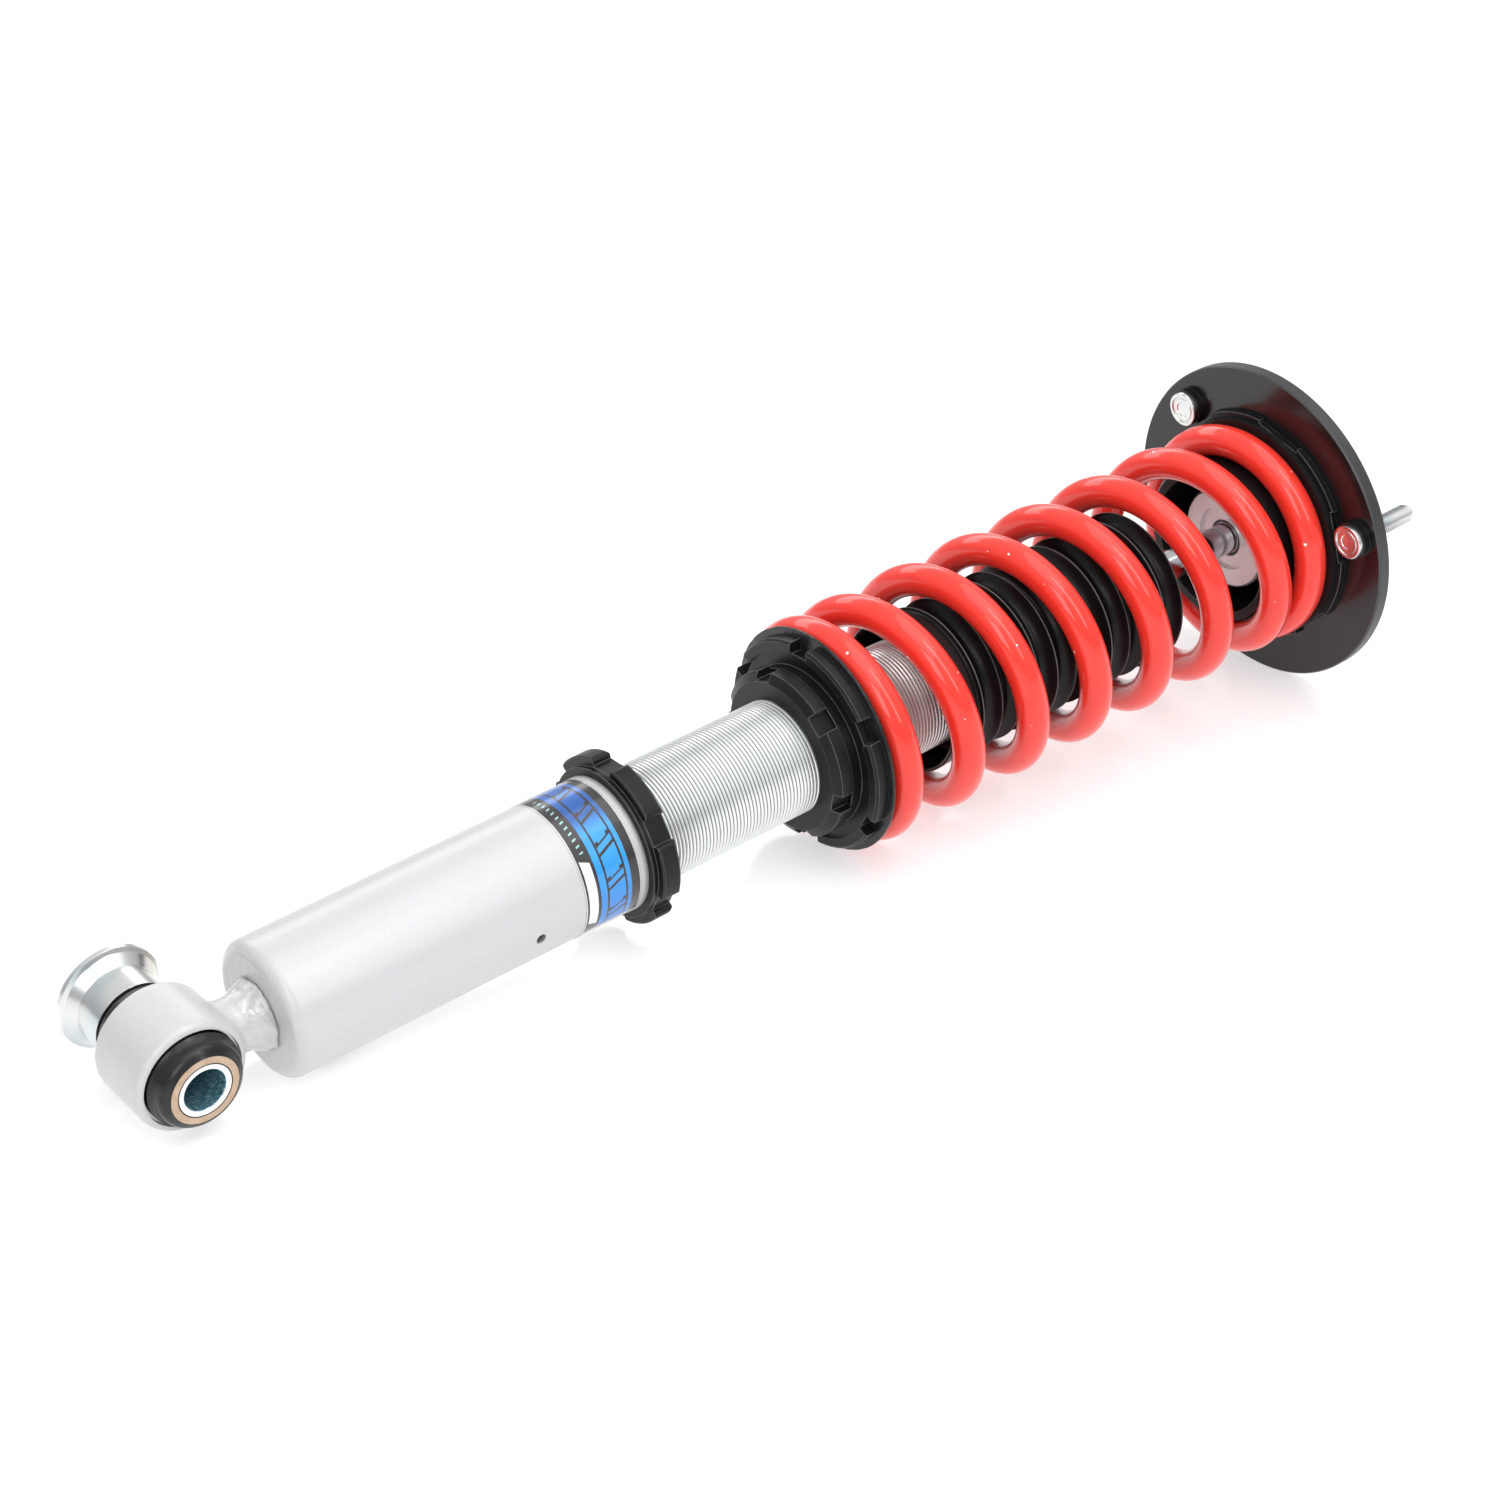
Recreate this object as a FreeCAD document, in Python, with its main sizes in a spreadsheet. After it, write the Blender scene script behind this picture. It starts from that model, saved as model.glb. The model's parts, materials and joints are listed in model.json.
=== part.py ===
import FreeCAD, Part
import Sketcher
import math
import os
import re

# Coilover: a monotube damper in a height-adjustable casing, with its spring, lower eye
# bush and three-stud top mount. It lies on its side on a flat surface, resting on the rim
# of the top plate and the lower corner of the casing. Everything is in millimetres.
#
# Each piece is drawn in the coilover's own frame: Z runs along the damper from the centre
# of the lower eye to the top plate, and X points downwards. The eye and its bush are drawn
# with the bore along Y, then turned about Z by eye_turn, as the eye is welded on.
# A stand is a distance along Z from the centre of the eye.

doc = FreeCAD.newDocument("Coilover")

SIZES = {
    # lower eye and its bush
    "eye_radius": 27.3, "eye_half_width": 18.4, "eye_edge_round": 3.0, "eye_turn": 5.5,
    "bush_shell_radius": 24.0, "bush_shell_half": 16.5, "rubber_radius": 22.7,
    "rubber_shoulder": 20.6, "rubber_end_radius": 17.5, "inner_sleeve_radius": 16.7,
    "inner_sleeve_half": 28.2, "spacer_radius": 13.2, "bolt_bore_radius": 10.1,
    "spacer_collar_radius": 19.7, "flange_start": 43.5, "flange_radius": 25.5,
    "flange_face": 48.5, "flange_end": 54.0, "flange_flat": 24.1,
    "neck_radius": 13.5, "neck_root_radius": 18.0, "neck_flare_radius": 17.5,
    # casing
    "casing_radius": 33.0, "casing_start": 44.0, "casing_corner": 6.0, "casing_floor": 54.0,
    "casing_rim": 231.5, "rim_radius": 33.5, "rim_width": 4.2, "vent_stand": 171.5,
    "vent_radius": 2.6, "vent_turn": 14.0, "label_start": 196.6, "label_thickness": 0.25,
    # threaded damper tube
    "tube_radius": 29.0, "thread_clearance": 0.05, "tube_bore": 23.0, "tube_start": 95.0,
    "tube_end": 440.0, "plug_length": 18.0, "gas_port_radius": 3.0, "gas_port_floor": 8.0,
    "gas_piston_start": 168.0, "seal_depth": 3.0, "seal_width": 4.0,
    "gas_piston_length": 16.0, "gas_piston_wall": 6.0, "guide_length": 26.0,
    "seal_length": 5.0, "rod_seal_depth": 5.0,
    "gland_depth": 8.0, "gland_cap_radius": 28.5, "gland_cap": 4.0,
    # lock collar, perch lock ring and perch
    "collar_lip_radius": 37.4, "collar_lip": 2.5, "collar_radius": 42.0,
    "collar_thickness": 10.0, "collar_slot_floor": 37.8, "collar_slot_width": 12.5,
    "lug_round": 2.5, "edge_bevel": 1.2, "lock_front": 336.0, "lock_back": 346.0,
    "lock_nose_radius": 38.0, "lock_nose": 2.8, "lock_radius": 42.5,
    "lock_slot_floor": 38.2, "lock_slot_width": 10.5, "lock_turn": 44.0,
    "perch_boss_radius": 41.0, "perch_front": 350.2, "perch_back": 357.2,
    "perch_radius": 54.0, "perch_slot_floor": 47.5, "perch_slot_width": 12.0,
    "perch_recess_radius": 48.5, "perch_recess": 1.6, "spigot_radius": 42.4,
    "spigot_end": 366.0, "pad_radius": 57.5, "pad_thickness": 1.5,
    # spring
    "coil_radius": 51.0, "wire_radius": 8.1, "spring_turns": 7.8, "spring_end": 650.7,
    "spring_tip_turn": 52.0, "coil_gap": 1.0,
    # dust boot and bump stop
    "boot_start": 411.0, "boot_collar": 15.6, "boot_groove": 1.85, "boot_folds": 11.0,
    "boot_fold": 12.1, "boot_ridge": 39.5, "boot_valley": 33.5, "boot_wall": 2.0,
    "boot_shoulder": 3.0, "boot_neck": 14.0, "boot_neck_length": 12.0,
    "bump_start": 520.0, "bump_length": 42.0, "bump_radius": 21.0, "bump_waist": 17.5,
    # piston rod and piston
    "rod_radius": 8.0, "rod_shoulder": 634.0, "rod_tenon": 6.0, "rod_end": 690.0,
    "rod_foot": 352.0, "piston_start": 362.0, "piston_length": 18.0,
    "piston_radius": 21.8, "band_radius": 22.95, "band_width": 10.0, "port_circle": 14.5,
    "port_radius": 2.6, "band_depth": 1.5, "shim_radius": 19.0, "shim_thickness": 1.2,
    "piston_nut": 8.0, "piston_nut_wall": 4.5,
    "rod_stop_radius": 15.0, "rod_stop_length": 6.0,
    # top mount
    "housing_face": 632.0, "housing_radius": 26.9, "housing_mouth": 10.0,
    "housing_step_radius": 17.0, "housing_step": 1.6, "housing_flange_radius": 36.0,
    "housing_flange": 4.0, "ball_centre": 648.0, "ball_radius": 12.0, "ball_half": 9.0,
    "race_radius": 19.0, "race_half": 8.0, "race_floor": 640.0, "circlip": 1.6,
    "top_nut_radius": 11.5, "top_nut_length": 10.0, "top_washer": 2.5,
    "plate_front": 657.0, "plate_thickness": 7.6, "plate_radius": 85.0,
    "plate_bevel": 0.8, "stud_circle": 70.0, "stud_radius": 5.0, "stud_boss_radius": 9.8,
    "stud_boss": 4.0, "stud_head_radius": 9.0, "stud_head": 2.8, "stud_head_bevel": 0.8,
    "stud_shoulder_radius": 5.6, "stud_tip_bevel": 1.0, "stud_end": 695.5,
    "stud_turn": 16.2, "seat_face": 653.7, "seat_radius": 61.7, "seat_slot_floor": 58.4,
    "seat_slot_width": 27.5, "sleeve_radius": 42.4, "sleeve_bore": 37.0,
    "sleeve_start": 622.0, "top_pad_radius": 58.6, "slip": 0.02,
}
LUGS = 6
STUDS = 3

sheet = doc.addObject("Spreadsheet::Sheet", "Sizes")
for row, (alias, value) in enumerate(SIZES.items(), start=1):
    sheet.set("A%d" % row, alias)
    sheet.set("B%d" % row, str(value))
    sheet.setAlias("B%d" % row, alias)
doc.recompute()

ALIAS = re.compile(r"\b(" + "|".join(SIZES) + r")\b")
pieces = []
turns = {}


def size(alias):
    """The value of one driving dimension."""
    return float(sheet.get(alias))


def bound(text):
    """The formula with each alias written as a cell of the sheet."""
    return ALIAS.sub(r"Sizes.\1", text)


def new_body(label, turn=0.0):
    """An empty named body; turn is its angle about the damper's axis, in degrees."""
    body = doc.addObject("PartDesign::Body", label)
    body.Label = label
    pieces.append(body)
    turns[label] = turn
    return body


def new_sketch(body, role):
    """A sketch on one of the body's own origin planes."""
    plane = next(item for item in body.Origin.OriginFeatures if item.Role == role)
    sketch = body.newObject("Sketcher::SketchObject", body.Label + "_sketch")
    sketch.AttachmentSupport = [(plane, "")]
    sketch.MapMode = "FlatFace"
    return sketch


def pin_down(sketch, geometry, point, across, up):
    """Hold one point of a sketch at a place given by two formulas."""
    for kind, axis, text in (("DistanceX", -2, across), ("DistanceY", -1, up)):
        value = sketch.evalExpression(bound(text))
        if abs(value) < 1e-9:
            sketch.addConstraint(Sketcher.Constraint("PointOnObject", geometry, point, axis))
            continue
        number = sketch.addConstraint(
            Sketcher.Constraint(kind, -1, 1, geometry, point, float(value)))
        sketch.setExpression("Constraints[%d]" % number, bound(text))


def draw_outline(sketch, corners):
    """A closed outline of straight lines through corners given as pairs of formulas."""
    spots = [
        FreeCAD.Vector(float(sketch.evalExpression(bound(across))),
                       float(sketch.evalExpression(bound(up))), 0)
        for across, up in corners
    ]
    first = sketch.GeometryCount
    count = len(corners)
    for step in range(count):
        sketch.addGeometry(Part.LineSegment(spots[step], spots[(step + 1) % count]), False)
    for step in range(count):
        following = first + (step + 1) % count
        sketch.addConstraint(
            Sketcher.Constraint("Coincident", first + step, 2, following, 1))
    for step, (across, up) in enumerate(corners):
        pin_down(sketch, first + step, 1, across, up)


def draw_circle(sketch, across, up, radius):
    """A circle whose centre and radius are formulas."""
    centre = FreeCAD.Vector(float(sketch.evalExpression(bound(across))),
                            float(sketch.evalExpression(bound(up))), 0)
    value = float(sketch.evalExpression(bound(radius)))
    up_axis = FreeCAD.Vector(0, 0, 1)
    geometry = sketch.addGeometry(Part.Circle(centre, up_axis, value), False)
    pin_down(sketch, geometry, 3, across, up)
    number = sketch.addConstraint(Sketcher.Constraint("Radius", geometry, value))
    sketch.setExpression("Constraints[%d]" % number, bound(radius))


def revolve(body, role, corners):
    """Turn an outline round the sketch's upright axis; corners are (radius, stand)."""
    sketch = new_sketch(body, role)
    draw_outline(sketch, corners)
    solid = body.newObject("PartDesign::Revolution", body.Label + "_turned")
    solid.Profile = sketch
    solid.ReferenceAxis = (sketch, ["V_Axis"])
    solid.Angle = 360.0
    body.Tip = solid
    return solid


def turned(label, corners, turn=0.0):
    """A round piece about the damper's axis."""
    body = new_body(label, turn)
    revolve(body, "XZ_Plane", corners)
    return body


def turned_about_bore(label, corners):
    """A round piece about the axis of the eye's bore."""
    body = new_body(label, size("eye_turn"))
    revolve(body, "XY_Plane", corners)
    return body


def ring_corners(inner, outer, start, end):
    """The outline of a plain ring."""
    return [(inner, start), (outer, start), (outer, end), (inner, end)]


def cut_through(body, role, draw):
    """Cut a sketched outline through the body both ways."""
    sketch = new_sketch(body, role)
    draw(sketch)
    pocket = body.newObject("PartDesign::Pocket", body.Label + "_cut")
    pocket.Profile = sketch
    pocket.Type = "ThroughAll"
    pocket.Midplane = True
    body.Tip = pocket
    return pocket


def repeat_round(body, feature, count):
    """Repeat a cut round the axis of the sketch that it was drawn on."""
    pattern = body.newObject("PartDesign::PolarPattern", body.Label + "_round")
    pattern.Originals = [feature]
    pattern.Axis = (feature.Profile[0], ["N_Axis"])
    pattern.Angle = 360.0
    pattern.Occurrences = count
    body.Tip = pattern
    return pattern


def soften(body, kind, amount, chosen):
    """Round or bevel the edges of the body that the test function picks."""
    doc.recompute()
    base = body.Tip
    names = [
        "Edge%d" % (number + 1)
        for number, edge in enumerate(base.Shape.Edges) if chosen(edge)
    ]
    feature = body.newObject("PartDesign::" + kind, body.Label + "_" + kind.lower())
    feature.Base = (base, names)
    feature.setExpression("Radius" if kind == "Fillet" else "Size", bound(amount))
    body.Tip = feature
    return feature


def is_circle(edge, radius, stand, axis="z"):
    """Whether an edge is a full circle of that radius at that stand on the axis."""
    curve = edge.Curve
    if curve.TypeId != "Part::GeomCircle" or not edge.Closed:
        return False
    here = getattr(curve.Center, axis)
    return abs(curve.Radius - radius) < 1e-4 and abs(here - stand) < 1e-4


def is_lug_corner(edge, radius):
    """Whether an edge runs along the damper at that distance from its axis."""
    if edge.Curve.TypeId != "Part::GeomLine":
        return False
    start, end = (vertex.Point for vertex in edge.Vertexes)
    along = abs(start.z - end.z) > 1e-3
    return along and all(abs(math.hypot(p.x, p.y) - radius) < 1e-3 for p in (start, end))


def cut_slots(body, floor, width, reach):
    """Spanner slots round the rim of a ring, open outwards, with rounded lugs."""
    def draw(sketch):
        corners = [(floor, "-%s / 2" % width), (reach, "-%s / 2" % width),
                   (reach, "%s / 2" % width), (floor, "%s / 2" % width)]
        draw_outline(sketch, corners)
    repeat_round(body, cut_through(body, "XY_Plane", draw), LUGS)


def finished(label, shape):
    """A piece whose shape is worked out directly."""
    piece = doc.addObject("Part::Feature", label)
    piece.Label = label
    piece.Shape = shape
    pieces.append(piece)
    turns[label] = 0.0
    return piece


# ---------------------------------------------------------------- lower eye and bush

def make_eye_mount():
    """The eye ring with the waisted neck that is welded to the casing."""
    body = turned("eye_mount", [
        ("0", "eye_half_width / 2"), ("neck_root_radius", "eye_half_width / 2"),
        ("neck_radius", "casing_start - 13"), ("neck_radius", "casing_start - 8.5"),
        ("neck_flare_radius", "casing_start"), ("0", "casing_start")], turn=size("eye_turn"))
    waist = (size("casing_start") - 13, size("casing_start") - 8.5)
    soften(body, "Fillet", "neck_radius / 2",
           lambda edge: any(is_circle(edge, size("neck_radius"), w) for w in waist))
    ring = new_sketch(body, "XZ_Plane")
    draw_circle(ring, "0", "0", "eye_radius")
    pad = body.newObject("PartDesign::Pad", "eye_ring")
    pad.Profile = ring
    pad.Midplane = True
    pad.setExpression("Length", bound("2 * eye_half_width"))
    body.Tip = pad
    edges = (size("eye_half_width"), -size("eye_half_width"))
    soften(body, "Fillet", "eye_edge_round",
           lambda edge: any(is_circle(edge, size("eye_radius"), y, "y") for y in edges))
    cut_through(body, "XZ_Plane",
                lambda sketch: draw_circle(sketch, "0", "0", "bush_shell_radius"))


def make_bush():
    """The bonded bush: steel shell, rubber, inner sleeve and the flanged spacer."""
    turned_about_bore("bush_shell", ring_corners(
        "rubber_radius", "bush_shell_radius", "-bush_shell_half", "bush_shell_half"))
    turned_about_bore("bush_rubber", [
        ("inner_sleeve_radius + thread_clearance", "-inner_sleeve_half"),
        ("rubber_end_radius", "-inner_sleeve_half"), ("rubber_radius", "-rubber_shoulder"),
        ("rubber_radius", "rubber_shoulder"), ("rubber_end_radius", "inner_sleeve_half"),
        ("inner_sleeve_radius + thread_clearance", "inner_sleeve_half")])
    turned_about_bore("bush_inner_sleeve", ring_corners(
        "spacer_radius", "inner_sleeve_radius", "-inner_sleeve_half", "inner_sleeve_half"))
    spacer = turned_about_bore("flanged_spacer", [
        ("bolt_bore_radius", "-inner_sleeve_half"), ("spacer_radius", "-inner_sleeve_half"),
        ("spacer_radius", "inner_sleeve_half"), ("spacer_collar_radius", "inner_sleeve_half"),
        ("spacer_collar_radius", "flange_start"), ("flange_radius - 2", "flange_face"),
        ("flange_radius", "flange_face + 1"), ("flange_radius", "flange_end - 2"),
        ("flange_radius - 4", "flange_end"), ("bolt_bore_radius", "flange_end")])

    def draw_flats(sketch):
        for side in ("", "-"):
            near = side + "flange_flat"
            far = side + "(flange_radius + 5)"
            start = "flange_start - 1"
            end = "flange_end + 5"
            draw_outline(sketch, [(start, near), (end, near), (end, far), (start, far)])
    cut_through(spacer, "YZ_Plane", draw_flats)
    bore_ends = (size("flange_end"), -size("inner_sleeve_half"))
    soften(spacer, "Chamfer", "edge_bevel / 2",
           lambda edge: any(is_circle(edge, size("bolt_bore_radius"), y, "y")
                            for y in bore_ends))


# ---------------------------------------------------------------- casing

def make_casing():
    """The casing: a cup bored for the threaded tube, with a vent hole and a plain rim."""
    bore = "tube_radius + thread_clearance"
    body = turned("lower_casing", [
        ("0", "casing_start"), ("casing_radius", "casing_start"),
        ("casing_radius", "casing_rim - rim_width"), ("rim_radius", "casing_rim - rim_width"),
        ("rim_radius", "casing_rim"), (bore, "casing_rim"), (bore, "casing_floor"),
        ("0", "casing_floor")], turn=size("vent_turn"))
    soften(body, "Fillet", "casing_corner",
           lambda edge: is_circle(edge, size("casing_radius"), size("casing_start")))
    sketch = new_sketch(body, "XZ_Plane")
    draw_circle(sketch, "0", "vent_stand", "vent_radius")
    pocket = body.newObject("PartDesign::Pocket", "vent_hole")
    pocket.Profile = sketch
    pocket.Type = "Length"
    pocket.setExpression("Length", bound("casing_radius + 5"))
    pocket.Reversed = True
    body.Tip = pocket
    turned("casing_label", ring_corners(
        "casing_radius", "casing_radius + label_thickness", "label_start",
        "casing_rim - rim_width"))


# ---------------------------------------------------------------- damper tube and gas side

def make_tube():
    """The threaded tube with its base plug, gas piston, rod guide, seal and gland nut."""
    turned("damper_tube", ring_corners("tube_bore", "tube_radius", "tube_start", "tube_end"))
    turned("tube_base_plug", [
        ("0", "tube_start"), ("tube_bore", "tube_start"),
        ("tube_bore", "tube_start + plug_length"),
        ("gas_port_radius", "tube_start + plug_length"),
        ("gas_port_radius", "tube_start + gas_port_floor"),
        ("0", "tube_start + gas_port_floor")])
    turned("gas_valve_screw", [
        ("0", "tube_start + gas_port_floor"), ("gas_port_radius", "tube_start + gas_port_floor"),
        ("gas_port_radius", "tube_start + plug_length - 1"),
        ("0", "tube_start + plug_length - 1")])
    middle = "gas_piston_start + gas_piston_length / 2"
    slide = "tube_bore - thread_clearance"
    groove_floor = "tube_bore - seal_depth"
    groove_start = middle + " - seal_width / 2"
    groove_end = middle + " + seal_width / 2"
    cup = "tube_bore - gas_piston_wall"
    turned("gas_piston", [
        ("0", "gas_piston_start"), (slide, "gas_piston_start"), (slide, groove_start),
        (groove_floor, groove_start), (groove_floor, groove_end), (slide, groove_end),
        (slide, "gas_piston_start + gas_piston_length"),
        (cup, "gas_piston_start + gas_piston_length"), (cup, middle + " + seal_width"),
        ("0", middle + " + seal_width")])
    turned("gas_piston_seal", ring_corners(groove_floor, slide, groove_start, groove_end))
    top = "tube_end - gland_depth"
    rod = "rod_radius + thread_clearance"
    turned("rod_guide", [
        (rod, top + " - guide_length"), ("tube_bore", top + " - guide_length"),
        ("tube_bore", top), ("rod_radius + rod_seal_depth", top),
        ("rod_radius + rod_seal_depth", top + " - seal_length"),
        (rod, top + " - seal_length")])
    turned("rod_seal", ring_corners(
        rod, "rod_radius + rod_seal_depth", top + " - seal_length", top))
    turned("gland_nut", [
        ("rod_radius + 1", top), ("tube_bore", top), ("tube_bore", "tube_end"),
        ("gland_cap_radius", "tube_end"), ("gland_cap_radius", "tube_end + gland_cap"),
        ("rod_radius + 1", "tube_end + gland_cap")])


# ---------------------------------------------------------------- rings on the thread

def make_rings():
    """The lower lock collar, the perch lock ring, the spring perch and its pad."""
    bore = "tube_radius + thread_clearance"
    collar = turned("lower_lock_collar", [
        (bore, "casing_rim"), ("collar_lip_radius", "casing_rim"),
        ("collar_lip_radius", "casing_rim + collar_lip"),
        ("collar_radius - edge_bevel / 2", "casing_rim + collar_lip"),
        ("collar_radius", "casing_rim + collar_lip + edge_bevel / 2"),
        ("collar_radius", "casing_rim + collar_lip + collar_thickness - edge_bevel"),
        ("collar_radius - edge_bevel", "casing_rim + collar_lip + collar_thickness"),
        (bore, "casing_rim + collar_lip + collar_thickness")])
    cut_slots(collar, "collar_slot_floor", "collar_slot_width", "collar_radius + 5")
    soften(collar, "Fillet", "lug_round",
           lambda edge: is_lug_corner(edge, size("collar_radius")))

    lock = turned("perch_lock_ring", [
        (bore, "lock_front"), ("lock_nose_radius", "lock_front"),
        ("lock_radius", "lock_front + lock_nose"), ("lock_radius", "lock_back - edge_bevel / 2"),
        ("lock_radius - edge_bevel / 2", "lock_back"), (bore, "lock_back")],
        turn=size("lock_turn"))
    cut_slots(lock, "lock_slot_floor", "lock_slot_width", "lock_radius + 5")

    perch = turned("spring_perch", [
        (bore, "lock_back"), ("perch_boss_radius", "lock_back"),
        ("perch_boss_radius", "perch_front + perch_recess"),
        ("perch_recess_radius", "perch_front + perch_recess"),
        ("perch_recess_radius", "perch_front"), ("perch_radius - edge_bevel", "perch_front"),
        ("perch_radius", "perch_front + edge_bevel"), ("perch_radius", "perch_back"),
        ("spigot_radius", "perch_back"), ("spigot_radius", "spigot_end - edge_bevel"),
        ("spigot_radius - edge_bevel", "spigot_end"), (bore, "spigot_end")])
    cut_slots(perch, "perch_slot_floor", "perch_slot_width", "perch_radius + 5")

    turned("lower_spring_pad", ring_corners(
        "spigot_radius + slip", "pad_radius", "perch_back", "perch_back + pad_thickness"))


# ---------------------------------------------------------------- spring and rubber parts

def wire_stand(turn):
    """The height of the wire's centre after so many turns, closed up at both ends."""
    start = size("perch_back") + size("pad_thickness") + size("wire_radius")
    end = size("spring_end") - size("wire_radius")
    lift = 2 * size("wire_radius") + size("coil_gap")
    count = size("spring_turns")
    pitch = (end - start - 2 * lift) / (count - 2)
    if turn < 1:
        return start + lift * turn ** 3
    if turn > count - 1:
        return end - lift * (count - turn) ** 3
    return start + lift + pitch * (turn - 1)


def make_spring():
    """The coil spring: round wire swept along a helix with closed end turns."""
    steps = 24
    total = int(round(size("spring_turns") * steps))
    points = []
    for step in range(total + 1):
        turn = step / steps
        angle = math.radians(size("spring_tip_turn")) + 2 * math.pi * turn
        points.append(FreeCAD.Vector(size("coil_radius") * math.cos(angle),
                                     size("coil_radius") * math.sin(angle),
                                     wire_stand(turn)))
    path = Part.BSplineCurve()
    path.interpolate(points)
    wire = Part.Wire([path.toShape()])
    tangent = path.tangent(path.FirstParameter)[0]
    section = Part.Wire([Part.Circle(points[0], tangent, size("wire_radius")).toShape()])
    spring = wire.makePipeShell([section], True, True)
    expected = math.pi * size("wire_radius") ** 2 * wire.Length
    if abs(spring.Volume / expected - 1) > 0.01:
        raise RuntimeError("the spring's volume is wrong")
    finished("coil_spring", spring)


def make_boot():
    """The bellows that keeps dust off the rod: a plain collar, then folds up to a neck."""
    collar = "boot_start + boot_collar"
    first = collar + " + 2 * boot_groove"
    outside = [("boot_ridge", "boot_start"), ("boot_ridge", collar),
               ("boot_ridge - boot_groove", collar + " + boot_groove"), ("boot_ridge", first)]
    for fold in range(int(size("boot_folds"))):
        outside.append(("boot_valley", first + " + boot_fold * %.1f" % (fold + 0.5)))
        outside.append(("boot_ridge", first + " + boot_fold * %d" % (fold + 1)))
    inside = [(across + " - boot_wall", stand) for across, stand in outside]
    last = first + " + boot_fold * boot_folds"
    shoulder = last + " + boot_shoulder"
    end = last + " + boot_neck_length"
    outside += [("boot_neck", shoulder), ("boot_neck", end)]
    inside += [("boot_neck - boot_wall", shoulder + " - boot_wall"),
               ("boot_neck - boot_wall", end)]
    turned("dust_boot", outside + inside[::-1])


def make_bump_stop():
    """The foam bump stop on the rod, with two waists."""
    corners = [("rod_radius", "bump_start"), ("bump_waist - 3", "bump_start")]
    for third in range(3):
        swell = "bump_start + bump_length * %.3f" % ((third + 0.5) / 3)
        corners.append(("bump_radius", swell))
        corners.append(("bump_waist", "bump_start + bump_length * %.3f" % ((third + 1) / 3)))
    corners.append(("rod_radius", "bump_start + bump_length"))
    turned("bump_stop", corners)


# ---------------------------------------------------------------- rod and piston

def make_rod():
    """The piston rod with its piston, valve shims, nut and rebound stop."""
    turned("piston_rod", [
        ("0", "rod_foot"), ("rod_tenon", "rod_foot"),
        ("rod_tenon", "piston_start + piston_length + shim_thickness"),
        ("rod_radius", "piston_start + piston_length + shim_thickness"),
        ("rod_radius", "rod_shoulder"), ("rod_tenon", "rod_shoulder"),
        ("rod_tenon", "rod_end - 1"), ("rod_tenon - 1", "rod_end"), ("0", "rod_end")])
    middle = "piston_start + piston_length / 2"
    piston = turned("piston", [
        ("rod_tenon", "piston_start"), ("piston_radius", "piston_start"),
        ("piston_radius", middle + " - band_width / 2"),
        ("piston_radius - band_depth", middle + " - band_width / 2"),
        ("piston_radius - band_depth", middle + " + band_width / 2"),
        ("piston_radius", middle + " + band_width / 2"),
        ("piston_radius", "piston_start + piston_length"),
        ("rod_tenon", "piston_start + piston_length")])
    port = cut_through(piston, "XY_Plane",
                       lambda sketch: draw_circle(sketch, "port_circle", "0", "port_radius"))
    repeat_round(piston, port, LUGS)
    turned("piston_band", ring_corners(
        "piston_radius - band_depth", "band_radius", middle + " - band_width / 2",
        middle + " + band_width / 2"))
    turned("compression_shims", ring_corners(
        "rod_tenon", "shim_radius", "piston_start - shim_thickness", "piston_start"))
    turned("rebound_shims", ring_corners(
        "rod_tenon", "shim_radius", "piston_start + piston_length",
        "piston_start + piston_length + shim_thickness"))
    turned("piston_nut", ring_corners(
        "rod_tenon", "rod_tenon + piston_nut_wall", "piston_start - shim_thickness - piston_nut",
        "piston_start - shim_thickness"))
    turned("rebound_stop", ring_corners(
        "rod_radius", "rod_stop_radius",
        "tube_end - gland_depth - guide_length - rod_stop_length",
        "tube_end - gland_depth - guide_length"))


# ---------------------------------------------------------------- top mount

def ball_shape(radius, half, bore, centre):
    """A ball with flat ends and a bore along the damper's axis."""
    ball = Part.makeSphere(radius, FreeCAD.Vector(0, 0, centre))
    slab = Part.makeCylinder(radius + 1, 2 * half, FreeCAD.Vector(0, 0, centre - half))
    solid = ball.common(slab)
    if bore > 0:
        through = FreeCAD.Vector(0, 0, centre - radius - 1)
        solid = solid.cut(Part.makeCylinder(bore, 2 * radius + 2, through))
    return solid


def make_bearing():
    """The spherical bearing and the nut that clamps its ball to the rod."""
    centre = size("ball_centre")
    finished("bearing_ball", ball_shape(
        size("ball_radius"), size("ball_half"), size("rod_tenon"), centre))
    start = FreeCAD.Vector(0, 0, centre - size("race_half"))
    race = Part.makeCylinder(size("race_radius"), 2 * size("race_half"), start)
    socket = Part.makeSphere(size("ball_radius") + size("thread_clearance"),
                             FreeCAD.Vector(0, 0, centre))
    finished("bearing_race", race.cut(socket))
    turned("lower_rod_washer", ring_corners(
        "rod_tenon", "rod_radius + 0.5", "rod_shoulder", "ball_centre - ball_half"))
    turned("upper_rod_washer", ring_corners(
        "rod_tenon", "rod_radius + 2.5", "ball_centre + ball_half",
        "ball_centre + ball_half + top_washer"))
    nut = turned("rod_top_nut", ring_corners(
        "rod_tenon", "top_nut_radius", "ball_centre + ball_half + top_washer",
        "ball_centre + ball_half + top_washer + top_nut_length"))
    cut_flats = ("top_nut_radius * 0.866", "-top_nut_radius", "top_nut_radius + 3",
                 "top_nut_radius")

    def draw_flat(sketch):
        near, low, far, high = cut_flats
        draw_outline(sketch, [(near, low), (far, low), (far, high), (near, high)])
    repeat_round(nut, cut_through(nut, "XY_Plane", draw_flat), LUGS)


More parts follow.
